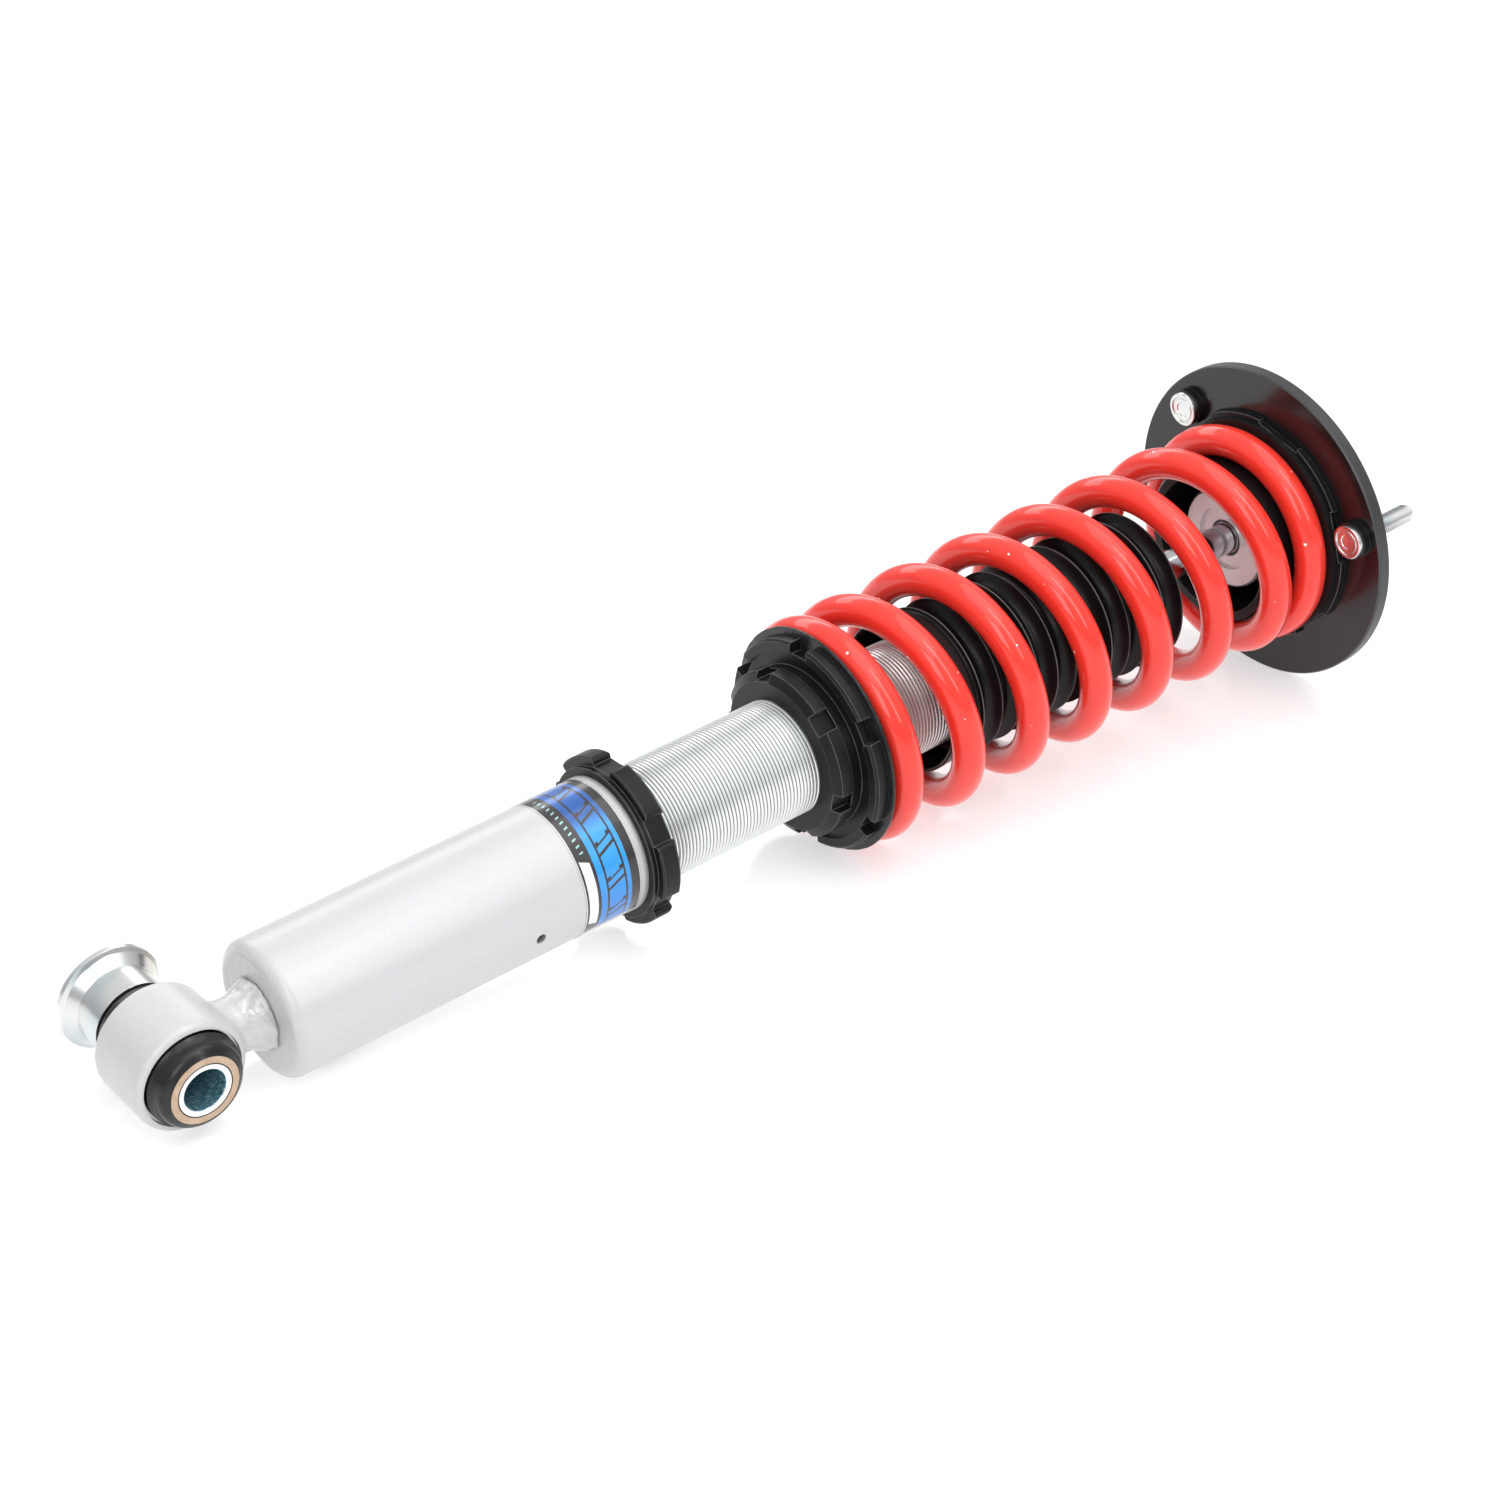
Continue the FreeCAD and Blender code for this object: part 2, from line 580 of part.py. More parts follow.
def make_housing():
    """The bearing housing, let into the plate from behind, and the race's circlip."""
    top = "plate_front + plate_thickness"
    shoulder = top + " - housing_flange"
    turned("bearing_housing", [
        ("housing_mouth", "housing_face + housing_step"),
        ("housing_step_radius", "housing_face + housing_step"),
        ("housing_step_radius", "housing_face"),
        ("housing_radius - 1", "housing_face"), ("housing_radius", "housing_face + 1"),
        ("housing_radius", shoulder), ("housing_flange_radius", shoulder),
        ("housing_flange_radius", top), ("race_radius", top),
        ("race_radius", "race_floor + 2 * race_half + circlip + 1"),
        ("race_radius", "race_floor"), ("housing_mouth", "race_floor")])
    turned("bearing_circlip", ring_corners(
        "race_radius - 2.5", "race_radius", "race_floor + 2 * race_half",
        "race_floor + 2 * race_half + circlip"))


def round_bar(radius, start, end):
    """A plain round bar on the damper's axis."""
    return Part.makeCylinder(radius, end - start, FreeCAD.Vector(0, 0, start))


def around_studs(shape):
    """Copies of a shape at each stud's place on the plate."""
    copies = []
    for number in range(STUDS):
        angle = math.radians(size("stud_turn") + 360.0 / STUDS * number)
        copy = shape.copy()
        copy.translate(FreeCAD.Vector(size("stud_circle") * math.cos(angle),
                                      size("stud_circle") * math.sin(angle), 0))
        copies.append(copy)
    return copies


def make_plate():
    """The round top plate with its three bosses, and the studs pressed through them.

    A counterbore in the plate's back takes the flange of the bearing housing.
    """
    back = "plate_front + plate_thickness"
    counterbore = "housing_flange_radius + slip"
    body = turned("top_plate", [
        ("housing_radius", "plate_front"), ("plate_radius - plate_bevel", "plate_front"),
        ("plate_radius", "plate_front + plate_bevel"),
        ("plate_radius", back + " - plate_bevel"), ("plate_radius - plate_bevel", back),
        (counterbore, back), (counterbore, back + " - housing_flange"),
        ("housing_radius", back + " - housing_flange")], turn=size("stud_turn"))
    for number in range(STUDS):
        turn = "%d" % (360 // STUDS * number)
        sketch = new_sketch(body, "XY_Plane")
        sketch.setExpression("AttachmentOffset.Base.z", bound("plate_front - stud_boss"))
        draw_circle(sketch, "stud_circle * cos(%s deg)" % turn,
                    "stud_circle * sin(%s deg)" % turn, "stud_boss_radius")
        pad = body.newObject("PartDesign::Pad", "stud_boss")
        pad.Profile = sketch
        pad.setExpression("Length", bound("stud_boss + plate_thickness / 2"))
        body.Tip = pad
    hole = cut_through(body, "XY_Plane",
                       lambda sketch: draw_circle(sketch, "stud_circle", "0", "stud_shoulder_radius"))
    repeat_round(body, hole, STUDS)

    front = size("plate_front") - size("stud_boss")
    face = size("plate_front") + size("plate_thickness")
    head = round_bar(size("stud_head_radius"), front - size("stud_head"), front)
    head = head.makeChamfer(size("stud_head_bevel"), [
        edge for edge in head.Edges
        if is_circle(edge, size("stud_head_radius"), front - size("stud_head"))])
    shoulder = round_bar(size("stud_shoulder_radius"), front, face)
    thread = round_bar(size("stud_radius"), face, size("stud_end"))
    thread = thread.makeChamfer(size("stud_tip_bevel"), [
        edge for edge in thread.Edges if is_circle(edge, size("stud_radius"), size("stud_end"))])
    finished("mount_studs", Part.makeCompound(around_studs(head.fuse(shoulder).fuse(thread))))


def make_upper_seat():
    """The upper spring seat with its centring sleeve, and the pad under it.

    Every second slot in the seat's rim clears one of the stud bosses.
    """
    seat = turned("upper_spring_seat", [
        ("sleeve_bore", "sleeve_start"), ("sleeve_radius - edge_bevel", "sleeve_start"),
        ("sleeve_radius", "sleeve_start + edge_bevel"), ("sleeve_radius", "seat_face"),
        ("seat_radius", "seat_face"), ("seat_radius", "plate_front - slip"),
        ("sleeve_bore", "plate_front - slip")], turn=size("stud_turn"))
    cut_slots(seat, "seat_slot_floor", "seat_slot_width", "seat_radius + 5")
    turned("upper_spring_pad", ring_corners(
        "sleeve_radius + slip", "top_pad_radius", "spring_end", "seat_face"))


# ---------------------------------------------------------------- assembly

def resting_pose():
    """The lean of the damper's axis and the height of the eye when the part lies down."""
    reach = size("plate_front") + size("plate_bevel")
    corner = size("casing_corner")
    along = reach - size("casing_start") - corner
    across = size("plate_radius") - size("casing_radius") + corner
    lean = math.acos(corner / math.hypot(along, across)) - math.atan2(along, across)
    height = size("plate_radius") * math.cos(lean) - reach * math.sin(lean)
    return math.degrees(lean), height


def place_all(middle):
    """Put every piece in the part's frame, about a middle point on the surface."""
    lean, height = resting_pose()
    tip = FreeCAD.Rotation(FreeCAD.Vector(0, 1, 0), 90.0 - lean)
    for piece in pieces:
        spin = FreeCAD.Rotation(FreeCAD.Vector(0, 0, 1), turns[piece.Label])
        place = FreeCAD.Vector(-middle.x, -middle.y, height)
        piece.Placement = FreeCAD.Placement(place, tip.multiply(spin))
    doc.recompute()


def whole_box():
    """The box round all the pieces."""
    box = FreeCAD.BoundBox()
    for piece in pieces:
        box.add(piece.Shape.optimalBoundingBox(False, False))
    return box


def check_pieces():
    """Stop on any failed object or any bad shape."""
    for item in doc.Objects:
        if "Invalid" in item.State or "Error" in item.State:
            raise RuntimeError("failed object: " + item.Label)
    for piece in pieces:
        if piece.Shape.isNull() or not piece.Shape.isValid() or not piece.Shape.Solids:
            raise RuntimeError("bad shape: " + piece.Label)


def write_pieces():
    """Write each piece to its own file."""
    os.makedirs("parts", exist_ok=True)
    for piece in pieces:
        piece.Shape.exportStep(os.path.join("parts", piece.Label + ".step"))


make_eye_mount()
make_bush()
make_casing()
make_tube()
make_rings()
make_spring()
make_boot()
make_bump_stop()
make_rod()
make_bearing()
make_housing()
make_plate()
make_upper_seat()
doc.recompute()

place_all(FreeCAD.Vector(0, 0, 0))
place_all(whole_box().Center)
check_pieces()
write_pieces()

lean_degrees, eye_height = resting_pose()
final_box = whole_box()
eye = pieces[0].Placement.Base
print("eye centre %.4f %.4f %.4f lean %.5f" % (eye.x, eye.y, eye.z, lean_degrees))
print("box", [round(v, 3) for v in (final_box.XMin, final_box.YMin, final_box.ZMin,
                                    final_box.XMax, final_box.YMax, final_box.ZMax)])
for piece in pieces:
    print("%-20s %10.1f mm3, %d solid" % (
        piece.Label, piece.Shape.Volume, len(piece.Shape.Solids)))
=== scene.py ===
import json
import math

import bmesh
import bpy
from mathutils import Matrix, Vector, noise


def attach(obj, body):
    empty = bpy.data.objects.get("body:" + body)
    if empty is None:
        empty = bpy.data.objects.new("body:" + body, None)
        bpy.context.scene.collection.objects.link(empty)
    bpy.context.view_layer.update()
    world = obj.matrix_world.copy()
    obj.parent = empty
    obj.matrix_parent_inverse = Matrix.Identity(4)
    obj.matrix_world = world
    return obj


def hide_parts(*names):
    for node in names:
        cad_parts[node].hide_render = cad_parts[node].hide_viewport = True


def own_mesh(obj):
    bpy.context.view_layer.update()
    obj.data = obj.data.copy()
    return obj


# Looks for the coilover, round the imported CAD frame. Lengths are in metres; MM turns millimetres into
# them. New pieces are drawn standing up: Z runs along the damper from the centre of the lower eye, Y runs
# level across it and X points down. STANDING lays them where the CAD lies. The eye's own pieces are drawn
# with its bore along Y and laid down by BORE, which is turned a little about the damper. A stand is a
# height along Z.

MM = 0.001

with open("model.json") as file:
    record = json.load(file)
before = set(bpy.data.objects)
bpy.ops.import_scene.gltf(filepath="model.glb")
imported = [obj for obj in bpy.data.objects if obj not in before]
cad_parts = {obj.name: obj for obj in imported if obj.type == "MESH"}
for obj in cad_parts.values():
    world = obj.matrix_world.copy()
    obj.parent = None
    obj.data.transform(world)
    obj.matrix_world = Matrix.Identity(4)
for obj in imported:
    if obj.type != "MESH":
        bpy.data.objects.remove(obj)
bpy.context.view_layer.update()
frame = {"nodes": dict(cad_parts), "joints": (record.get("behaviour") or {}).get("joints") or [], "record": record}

joints = {joint["name"]: joint for joint in frame["joints"]}
mounts = {mount["name"]: mount for mount in frame["record"]["mounts"]}
EYE = Vector(joints["bush_twist"]["pos_m"])
ALONG = Vector(joints["lower_collar_turn"]["axis"]).normalized()
LEVEL = Vector((0, 1, 0))
BORE_AXIS = Vector(joints["bush_twist"]["axis"]).normalized()
STANDING = Matrix.Translation(EYE) @ Matrix((LEVEL.cross(ALONG), LEVEL, ALONG)).transposed().to_4x4()
BORE = Matrix.Translation(EYE) @ Matrix((BORE_AXIS.cross(ALONG), BORE_AXIS, ALONG)).transposed().to_4x4()
HEIGHT_RANGE = max(joints["body_height"]["range_m"])

# ---------------------------------------------------------------- camera and stage

AIM = Vector((-11.5, 10.0, 60.0)) * MM
CAMERA_DISTANCE = 1.658
CAMERA_TURN = math.radians(38.75)
CAMERA_HEIGHT = math.radians(29.2)
LENS = 84.0
FLOOR_SIZE = 9.0
FLOOR_GLOW = 0.55
ROOM_STRENGTH = 0.85


def make_camera():
    """The camera: a long lens, looking down along the damper from the eye's side."""
    data = bpy.data.cameras.new("camera")
    data.lens = LENS
    data.sensor_width = 36.0
    data.clip_start = 0.05
    data.clip_end = 50.0
    camera = bpy.data.objects.new("camera", data)
    back = Vector((-math.sin(CAMERA_TURN) * math.cos(CAMERA_HEIGHT),
                   -math.cos(CAMERA_TURN) * math.cos(CAMERA_HEIGHT),
                   math.sin(CAMERA_HEIGHT)))
    camera.location = AIM + back * CAMERA_DISTANCE
    camera.rotation_mode = "QUATERNION"
    camera.rotation_quaternion = (-back).to_track_quat("-Z", "Y")
    bpy.context.scene.collection.objects.link(camera)
    bpy.context.scene.camera = camera


def make_light(name, place, size, power):
    """A soft box that faces the middle of the damper."""
    data = bpy.data.lights.new(name, "AREA")
    data.shape = "RECTANGLE"
    data.size = size[0]
    data.size_y = size[1]
    data.energy = power
    light = bpy.data.objects.new(name, data)
    light.location = place
    light.rotation_mode = "QUATERNION"
    light.rotation_quaternion = (AIM - Vector(place)).to_track_quat("-Z", "Y")
    bpy.context.scene.collection.objects.link(light)


def make_world():
    """A pale room, brightest overhead."""
    world = bpy.data.worlds.new("room")
    world.use_nodes = True
    bpy.context.scene.world = world
    tree = world.node_tree
    where = tree.nodes.new("ShaderNodeTexCoord")
    split = tree.nodes.new("ShaderNodeSeparateXYZ")
    ramp = tree.nodes.new("ShaderNodeValToRGB")
    ramp.color_ramp.elements[0].position = 0.0
    ramp.color_ramp.elements[0].color = (0.50, 0.51, 0.53, 1)
    ramp.color_ramp.elements[1].position = 0.75
    ramp.color_ramp.elements[1].color = (1.0, 1.0, 1.0, 1)
    tree.links.new(where.outputs["Generated"], split.inputs[0])
    tree.links.new(split.outputs["Z"], ramp.inputs["Fac"])
    tree.links.new(ramp.outputs["Color"], tree.nodes["Background"].inputs["Color"])
    tree.nodes["Background"].inputs["Strength"].default_value = ROOM_STRENGTH


def make_stage():
    """The pale glossy table top, the soft boxes and the room."""
    bm = bmesh.new()
    bmesh.ops.create_grid(bm, x_segments=8, y_segments=8, size=FLOOR_SIZE / 2)
    mesh = bpy.data.meshes.new("floor")
    bm.to_mesh(mesh)
    bm.free()
    floor = bpy.data.objects.new("floor", mesh)
    bpy.context.scene.collection.objects.link(floor)
    tree, shader = new_material("floor")
    grain = add(tree, "ShaderNodeTexNoise", {"Scale": 40.0, "Detail": 3.0})
    set_inputs(tree, shader, {
        "Base Color": ramp(tree, grain["Fac"], [(0.3, (0.54, 0.54, 0.545)), (0.7, (0.56, 0.56, 0.56))]),
        "Roughness": spread(tree, grain["Fac"], 0.12, 0.16), "Specular IOR Level": 0.5,
        "Emission Color": (1.0, 1.0, 1.0), "Emission Strength": FLOOR_GLOW})
    mesh.materials.append(bpy.data.materials["floor"])
    make_light("overhead", (0.1, -0.3, 1.5), (2.0, 1.2), 10.0)
    make_light("front_left", (-1.5, -1.3, 1.1), (0.8, 1.2), 9.0)
    make_light("front", (0.3, -1.3, 1.4), (0.4, 1.8), 8.0)
    make_light("back", (0.3, 1.6, 1.0), (2.2, 0.5), 8.0)
    make_world()
    view = bpy.context.scene.view_settings
    view.view_transform = "Standard"


# ---------------------------------------------------------------- shader helpers

def new_material(name):
    """An empty named material: its node tree and its shader."""
    material = bpy.data.materials.new(name)
    material.use_nodes = True
    tree = material.node_tree
    return tree, tree.nodes["Principled BSDF"]


def set_inputs(tree, made, inputs):
    """Set or link a node's inputs by name or by number."""
    for key, value in inputs.items():
        socket = made.inputs[key]
        if isinstance(value, bpy.types.NodeSocket):
            tree.links.new(value, socket)
        elif isinstance(value, tuple) and len(value) == 3 and socket.type == "RGBA":
            socket.default_value = (*value, 1.0)
        else:
            socket.default_value = value


def add(tree, kind, inputs, **settings):
    """A new node with its inputs and settings; returns its outputs."""
    made = tree.nodes.new(kind)
    for key, value in settings.items():
        setattr(made, key, value)
    set_inputs(tree, made, inputs)
    return made.outputs


def calc(tree, operation, first, second=0.0, third=0.0):
    """One step of arithmetic."""
    return add(tree, "ShaderNodeMath", {0: first, 1: second, 2: third}, operation=operation)[0]


def spread(tree, value, low, high):
    """A value from 0 to 1 spread between two others."""
    return add(tree, "ShaderNodeMapRange", {"Value": value, "To Min": low, "To Max": high})["Result"]


def between(tree, value, low, high, soft=0.0):
    """1 where a value lies between two limits, and 0 elsewhere."""
    if soft <= 0:
        above = calc(tree, "GREATER_THAN", value, low)
        below = calc(tree, "LESS_THAN", value, high)
        return calc(tree, "MULTIPLY", above, below)
    rise = add(tree, "ShaderNodeMapRange", {
        "Value": value, "From Min": low - soft, "From Max": low + soft})
    fall = add(tree, "ShaderNodeMapRange", {
        "Value": value, "From Min": high - soft, "From Max": high + soft, "To Min": 1.0, "To Max": 0.0})
    return calc(tree, "MULTIPLY", rise["Result"], fall["Result"])


def ramp(tree, value, stops):
    """Colours along a value; stops are (place, colour)."""
    made = tree.nodes.new("ShaderNodeValToRGB")
    elements = made.color_ramp.elements
    while len(elements) < len(stops):
        elements.new(0.5)
    for element, (place, colour) in zip(elements, stops):
        element.position = place
        element.color = (*colour, 1.0)
    tree.links.new(value, made.inputs["Fac"])
    return made.outputs["Color"]


def mixed(tree, share, first, second):
    """One colour over another by a share from 0 to 1."""
    made = tree.nodes.new("ShaderNodeMix")
    made.data_type = "RGBA"
    set_inputs(tree, made, {0: share, 6: first, 7: second})
    return made.outputs[2]


def standing(tree, place=STANDING):
    """Coordinates in the standing frame, or in the eye's, in metres: a vector and its three parts."""
    here = add(tree, "ShaderNodeTexCoord", {})["Object"]
    stood = add(tree, "ShaderNodeMapping", {
        "Vector": here, "Location": EYE[:], "Rotation": place.to_euler()[:]}, vector_type="TEXTURE")[0]
    parts = add(tree, "ShaderNodeSeparateXYZ", {"Vector": stood})
    return stood, parts[0], parts[1], parts[2]


def distance_from(tree, first, second):
    """How far a point is from an axis, given its two coordinates across it."""
    flat = add(tree, "ShaderNodeCombineXYZ", {0: first, 1: second})[0]
    return add(tree, "ShaderNodeVectorMath", {0: flat}, operation="LENGTH")["Value"]


def bumped(tree, height, depth, base=None):
    """A normal bumped by a height from 0 to 1 that stands for a depth in metres."""
    inputs = {"Height": height, "Distance": depth, "Strength": 1.0}
    if base is not None:
        inputs["Normal"] = base
    return add(tree, "ShaderNodeBump", inputs)[0]


def soft_edges(tree, radius):
    """The normal with sharp edges eased, and how near an edge a point is."""
    eased = add(tree, "ShaderNodeBevel", {"Radius": radius}, samples=6)[0]
    plain = add(tree, "ShaderNodeNewGeometry", {})["Normal"]
    facing = add(tree, "ShaderNodeVectorMath", {0: eased, 1: plain}, operation="DOT_PRODUCT")["Value"]
    edge = add(tree, "ShaderNodeMapRange", {"Value": facing, "From Min": 1.0, "From Max": 0.85})["Result"]
    return eased, edge


def turning_marks(tree, spacing, around_bore=False):
    """Fine rings such as a lathe leaves, from 0 to 1."""
    x, y, z = standing(tree, BORE if around_bore else STANDING)[1:]
    across, along = (z, y) if around_bore else (y, z)
    radius = distance_from(tree, x, across)
    rings = add(tree, "ShaderNodeCombineXYZ", {0: radius, 1: along, 2: 0.0})[0]
    return add(tree, "ShaderNodeTexNoise", {"Vector": rings, "Scale": 1.0 / spacing, "Detail": 3.0})["Fac"]


# ---------------------------------------------------------------- materials

def paint_colour(tree, stood):
    """Light grey paint with fine metallic flakes, a little cloudy."""
    flakes = add(tree, "ShaderNodeTexVoronoi", {"Vector": stood, "Scale": 3200.0})["Color"]
    cloud = add(tree, "ShaderNodeTexNoise", {"Vector": stood, "Scale": 24.0, "Detail": 4.0})["Fac"]
    grey = mixed(tree, cloud, (0.575, 0.575, 0.583), (0.615, 0.615, 0.62))
    return mixed(tree, 0.10, grey, flakes), flakes, cloud


def silver_paint():
    """Satin silver paint, with painted shade: near black where ambient occlusion finds a hollow, such as the vent
    hole, on the casing above the neck.
    """
    tree, shader = new_material("silver_paint_finish")
    stood = standing(tree)[0]
    colour, flakes, cloud = paint_colour(tree, stood)
    z = add(tree, "ShaderNodeSeparateXYZ", {"Vector": stood})[2]
    weld = between(tree, z, NECK_WAIST_AT, CASING_START, 2 * MM)
    peel = add(tree, "ShaderNodeTexNoise", {"Vector": stood, "Scale": 380.0, "Detail": 2.0})["Fac"]
    drips = add(tree, "ShaderNodeTexNoise", {"Vector": stood, "Scale": 240.0, "Detail": 3.0})["Fac"]
    ripple = bumped(tree, calc(tree, "MULTIPLY", drips, weld), 1.3 * MM)
    # Painted shade: the paint turns near black in hollows found by ambient occlusion, such as the vent hole; the
    # neck and weld are left out.
    hollow = add(tree, "ShaderNodeAmbientOcclusion", {"Distance": 5 * MM}, samples=6)["AO"]
    lit = add(tree, "ShaderNodeMapRange", {"Value": hollow, "From Min": 0.3, "From Max": 0.75})["Result"]
    free_of_painted_shade = calc(tree, "MAXIMUM", lit, calc(tree, "LESS_THAN", z, CASING_START + 20 * MM))
    set_inputs(tree, shader, {
        "Base Color": mixed(tree, free_of_painted_shade, (0.05, 0.05, 0.05), colour), "Metallic": 0.12,
        "Roughness": calc(tree, "MULTIPLY_ADD", weld, -0.2, spread(tree, cloud, 0.36, 0.46)),
        "Coat Weight": spread(tree, weld, 0.25, 0.7), "Coat Roughness": spread(tree, weld, 0.2, 0.08),
        "Normal": bumped(tree, peel, 0.03 * MM, bumped(tree, flakes, 0.008 * MM, ripple))})


def zinc_colour(tree, stood):
    """Bright zinc, drifting between faint blue and faint yellow."""
    drift = add(tree, "ShaderNodeTexNoise", {"Vector": stood, "Scale": 38.0, "Detail": 2.0})["Fac"]
    return ramp(tree, drift, [
        (0.32, (0.60, 0.66, 0.67)), (0.47, (0.71, 0.72, 0.72)), (0.60, (0.72, 0.72, 0.70)),
        (0.74, (0.70, 0.67, 0.58))])


def zinc_plate():
    """Bright zinc plate with fine turning marks."""
    tree, shader = new_material("zinc_plate_finish")
    stood = standing(tree)[0]
    marks = turning_marks(tree, 0.5 * MM)
    eased = soft_edges(tree, 0.25 * MM)[0]
    set_inputs(tree, shader, {
        "Base Color": zinc_colour(tree, stood), "Metallic": 1.0,
        "Roughness": spread(tree, marks, 0.16, 0.32), "Normal": bumped(tree, marks, 0.012 * MM, eased)})


def spacer_zinc():
    """The spacer: bright turned zinc outside, and a dark blue bore with slanting tool marks."""
    tree, shader = new_material("spacer_zinc_finish")
    stood, x, y, z = standing(tree, BORE)
    radius = distance_from(tree, x, z)
    bore = between(tree, radius, 0.0, BORE_RADIUS + 0.3 * MM)
    turn = calc(tree, "MULTIPLY", calc(tree, "ARCTAN2", z, x), BORE_RADIUS)
    skew = calc(tree, "MULTIPLY", calc(tree, "ADD", y, calc(tree, "MULTIPLY", turn, 0.6)), 5.0)
    cuts = add(tree, "ShaderNodeCombineXYZ", {0: skew, 1: turn, 2: 0.0})[0]
    scratches = add(tree, "ShaderNodeTexNoise", {"Vector": cuts, "Scale": 420.0, "Detail": 4.0})["Fac"]
    blue = ramp(tree, scratches, [
        (0.36, (0.045, 0.13, 0.17)), (0.55, (0.13, 0.30, 0.37)), (0.70, (0.55, 0.74, 0.80))])
    marks = turning_marks(tree, 0.5 * MM, around_bore=True)
    face = between(tree, radius, BORE_RADIUS, SLEEVE_BORE + 0.2 * MM)
    near = calc(tree, "MULTIPLY", face, calc(tree, "LESS_THAN", y, SPACER_NEAR + 0.4 * MM))
    seam = calc(tree, "MULTIPLY", near, calc(tree, "GREATER_THAN", radius, SLEEVE_BORE - 0.35 * MM))
    plate = mixed(tree, near, zinc_colour(tree, stood), (0.90, 0.90, 0.90))
    plate = mixed(tree, seam, plate, (0.03, 0.028, 0.026))
    dull = calc(tree, "MULTIPLY", calc(tree, "ADD", near, bore), 0.6)
    height = mixed(tree, bore, marks, scratches)
    depth = calc(tree, "MULTIPLY_ADD", bore, 0.016 * MM, 0.004 * MM)
    set_inputs(tree, shader, {
        "Base Color": mixed(tree, bore, plate, blue), "Metallic": calc(tree, "SUBTRACT", 1.0, dull),
        "Roughness": spread(tree, marks, 0.16, 0.30),
        "Normal": bumped(tree, height, depth, soft_edges(tree, 0.4 * MM)[0])})


def thread_zinc():
    """The rolled thread of the tube: bright crests over roots darkened by painted shade, and near-black painted
    shade on the part inside the casing.
    """
    tree, shader = new_material("thread_zinc_finish")
    stood, x, y, z = standing(tree)
    depth = calc(tree, "SUBTRACT", TUBE_CREST, distance_from(tree, x, y))
    rise = add(tree, "ShaderNodeMapRange", {
        "Value": depth, "From Min": TUBE_THREAD_DEPTH, "From Max": 0.0})["Result"]
    stain = add(tree, "ShaderNodeTexNoise", {"Vector": stood, "Scale": 60.0, "Detail": 4.0})["Fac"]
    crest = mixed(tree, stain, (0.78, 0.81, 0.81), (0.87, 0.89, 0.88))
    marks = turning_marks(tree, 0.25 * MM)
    # Painted shade: the roots of the thread are coloured dark grey and the crests bright.
    share = add(tree, "ShaderNodeMapRange", {"Value": rise, "From Min": 0.15, "From Max": 0.75})["Result"]
    thread_with_painted_shade = mixed(tree, share, (0.17, 0.175, 0.17), crest)
    # Painted shade: the tube below the casing's rim, less the travel, is near black where it shows through the
    # vent hole.
    inside = calc(tree, "LESS_THAN", z, CASING_RIM - HEIGHT_RANGE - TUBE_PITCH)
    set_inputs(tree, shader, {
        "Base Color": mixed(tree, inside, thread_with_painted_shade, (0.02, 0.02, 0.02)), "Metallic": 0.75,
        "Roughness": spread(tree, marks, 0.27, 0.33), "Normal": bumped(tree, marks, 0.001 * MM)})


def black_anodised():
    """Matte black anodised aluminium, a little cloudy, and paler along its edges: partly wear and partly a painted
    highlight.
    """
    tree, shader = new_material("black_anodised_finish")
    stood = standing(tree)[0]
    grain = add(tree, "ShaderNodeTexNoise", {"Vector": stood, "Scale": 2400.0, "Detail": 3.0})["Fac"]
    cloud = add(tree, "ShaderNodeTexNoise", {"Vector": stood, "Scale": 60.0, "Detail": 4.0})["Fac"]
    eased, edge = soft_edges(tree, 0.55 * MM)
    # Pale edges: partly wear, partly a painted highlight along the edges.
    wear_and_highlight = calc(tree, "MULTIPLY", edge, spread(tree, cloud, 0.35, 0.9))
    dark = mixed(tree, cloud, (0.005, 0.005, 0.0055), (0.010, 0.010, 0.011))
    set_inputs(tree, shader, {
        "Base Color": mixed(tree, wear_and_highlight, dark, (0.34, 0.34, 0.35)),
        "Roughness": spread(tree, grain, 0.32, 0.42), "Specular IOR Level": 0.24,
        "Normal": bumped(tree, grain, 0.012 * MM, eased)})


def red_powder_coat():
    """Glossy red coat with a slight orange peel and a few chips and specks in it."""
    tree, shader = new_material("red_powder_coat_finish")
    stood = standing(tree)[0]
    peel = add(tree, "ShaderNodeTexNoise", {"Vector": stood, "Scale": 240.0, "Detail": 2.0})["Fac"]
    cloud = add(tree, "ShaderNodeTexNoise", {"Vector": stood, "Scale": 30.0, "Detail": 3.0})["Fac"]
    ragged = add(tree, "ShaderNodeTexNoise", {"Vector": stood, "Scale": 900.0, "Detail": 2.0})["Fac"]
    cells = add(tree, "ShaderNodeTexVoronoi", {"Vector": stood, "Scale": 150.0})
    lucky = add(tree, "ShaderNodeSeparateColor", {"Color": cells["Color"]})
    size = calc(tree, "MULTIPLY", lucky[1], lucky[1])
    reach = calc(tree, "MULTIPLY", size, calc(tree, "MULTIPLY", ragged, 0.24))
    near = calc(tree, "LESS_THAN", cells["Distance"], reach)
    speck = calc(tree, "MULTIPLY", near, calc(tree, "GREATER_THAN", lucky[0], 0.5))
    red = mixed(tree, cloud, (0.86, 0.034, 0.020), (0.92, 0.048, 0.032))
    set_inputs(tree, shader, {
        "Base Color": mixed(tree, speck, red, (0.95, 0.85, 0.82)), "Roughness": 0.28,
        "Specular IOR Level": 0.25, "Coat Weight": 0.7, "Coat Roughness": 0.03,
        "Normal": bumped(tree, calc(tree, "ADD", peel, speck), 0.035 * MM)})


